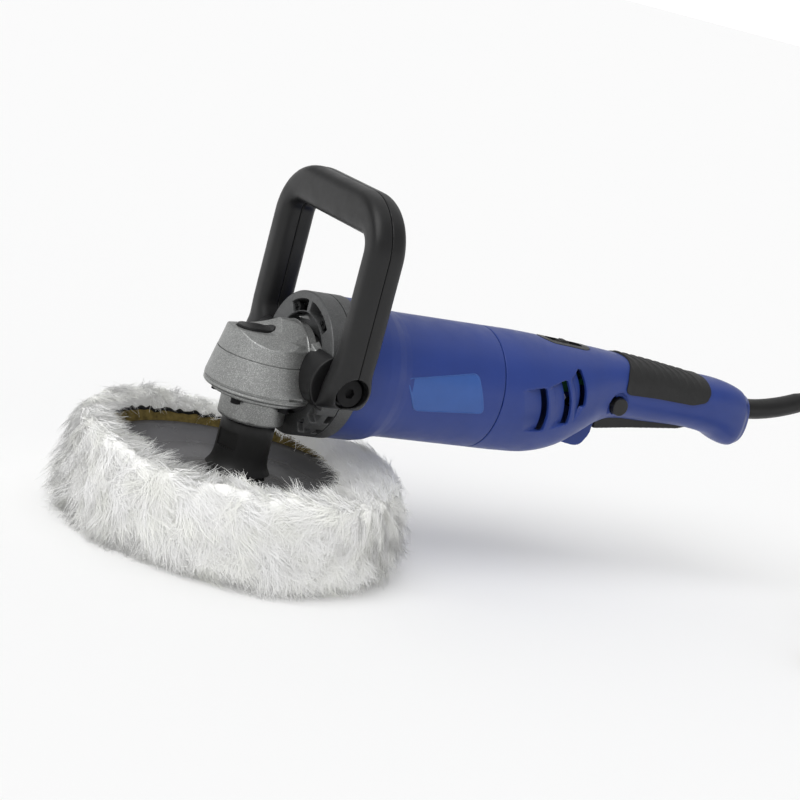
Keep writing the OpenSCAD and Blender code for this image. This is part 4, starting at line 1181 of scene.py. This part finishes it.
# ---- Controls ----
def add_lock_on():
    profile = soften([(0, 0), (6.15, 0), (6.15, 8.6), (0, 8.6)], 0.9, 5, closed=False)
    cap = lathe("lock_on_cap", profile, "y", (LOCK_ON[0], -25.9, LOCK_ON[1]), 72, closed=False)
    piece(cap, "lock_on_button", "black_plastic", "lock_on_button", sharp=60)


def add_dial():
    """The bezel, which is the handle's skin inside an oval window, and the knurled wheel in its slot."""
    bezel = boolean(handle_body("dial_frame", 0.25, 190, 260, 1.0), handle_body("core", -2.2, 180, 270))
    boolean(bezel, oval_block("window", 221.5, 41.7, 19.7, 145, 175), "INTERSECT")
    boolean(bezel, oval_block("well", 221.5, 30, 11.6, 154.4, 175))
    boolean(bezel, block("slot", (212, -3.4, 140), (229, 3.4, 175)))
    piece(bezel, "root", "black_plastic", "dial_bezel", sharp=35)
    x, z = DIAL
    t = np.linspace(0, 2 * math.pi, 160, endpoint=False)
    knurl = 6.95 - 0.45 * ease(np.cos(20 * t) * 2 - 0.6)
    rings = []
    for y, drop in [(-2.95, 0.8), (-2.6, 0.1), (-2, 0), (2, 0), (2.6, 0.1), (2.95, 0.8)]:
        r = knurl - drop
        rings.append(np.column_stack([x + r * np.cos(t), np.full(len(t), y), z + r * np.sin(t)]))
    wheel = loft("speed_wheel", rings)
    boolean(wheel, rod("axle_hole", (x, -5, z), (x, 5, z), 1.5))
    piece(wheel, "speed_dial", "black_plastic", "speed_dial", sharp=50)


def add_trigger():
    outline = soften([(260.6, 101.2), (290, 104.6), (334, 108.6), (341, 110.6), (341.8, 114.3),
                      (338.5, 117.2), (300, 115), (262, 112.5), (260.6, 111)], 1.2, 4)
    lever = prism("trigger_lever", outline, -8.2, 8.2)
    boolean(lever, rod("pin_hole", (338, -12, 113.6), (338, 12, 113.6), 1.55))
    moulded(lever, 0.45, 4)
    piece(lever, "trigger", "black_plastic", "trigger", sharp=50)


add_lock_on()
add_dial()
add_trigger()


# ---- Floor and light ----
FLOOR_REACH = 100000
FLOOR_Z = -0.4


def add_floor():
    corners = [(x * FLOOR_REACH, y * FLOOR_REACH, FLOOR_Z) for x, y in ((-1, -1), (1, -1), (1, 1), (-1, 1))]
    floor = make("floor", corners, [(0, 1, 2, 3)])
    pale = bpy.data.materials.new("pale_floor")
    pale.use_nodes = True
    shader = pale.node_tree.nodes["Principled BSDF"]
    shader.inputs["Base Color"].default_value = (0.94, 0.94, 0.94, 1)
    shader.inputs["Roughness"].default_value = 1.0
    shader.inputs["Specular IOR Level"].default_value = 0.0
    floor.data.materials.append(pale)


def add_sky():
    """A plain sky that is white near the horizon and softer overhead."""
    world = bpy.data.worlds.new("studio")
    bpy.context.scene.world = world
    world.use_nodes = True
    nodes, links = world.node_tree.nodes, world.node_tree.links
    up = nodes.new("ShaderNodeSeparateXYZ")
    links.new(nodes.new("ShaderNodeTexCoord").outputs["Generated"], up.inputs["Vector"])
    fade = nodes.new("ShaderNodeMapRange")
    fade.interpolation_type = "SMOOTHSTEP"
    for socket, value in zip(("From Min", "From Max", "To Min", "To Max"), (0.07, 0.30, 1.08, 0.42)):
        fade.inputs[socket].default_value = value
    links.new(up.outputs["Z"], fade.inputs["Value"])
    links.new(fade.outputs["Result"], nodes["Background"].inputs["Strength"])
    nodes["Background"].inputs["Color"].default_value = (1, 1, 1, 1)


def add_lamps():
    """Two wide soft suns: each with its direction, width in degrees and strength."""
    lamps = {"key": ((-0.75, -0.45, 1.25), 55, 1.75), "fill": ((0.5, 0.6, 1.4), 80, 0.45)}
    for name, (toward, angle, strength) in lamps.items():
        data = bpy.data.lights.new(name, "SUN")
        data.energy, data.angle = strength, math.radians(angle)
        lamp = bpy.data.objects.new(name, data)
        lamp.rotation_euler = Vector(toward).to_track_quat("Z", "Y").to_euler()
        bpy.context.scene.collection.objects.link(lamp)


add_floor()
add_sky()
add_lamps()
bpy.context.scene.view_settings.view_transform = "Standard"
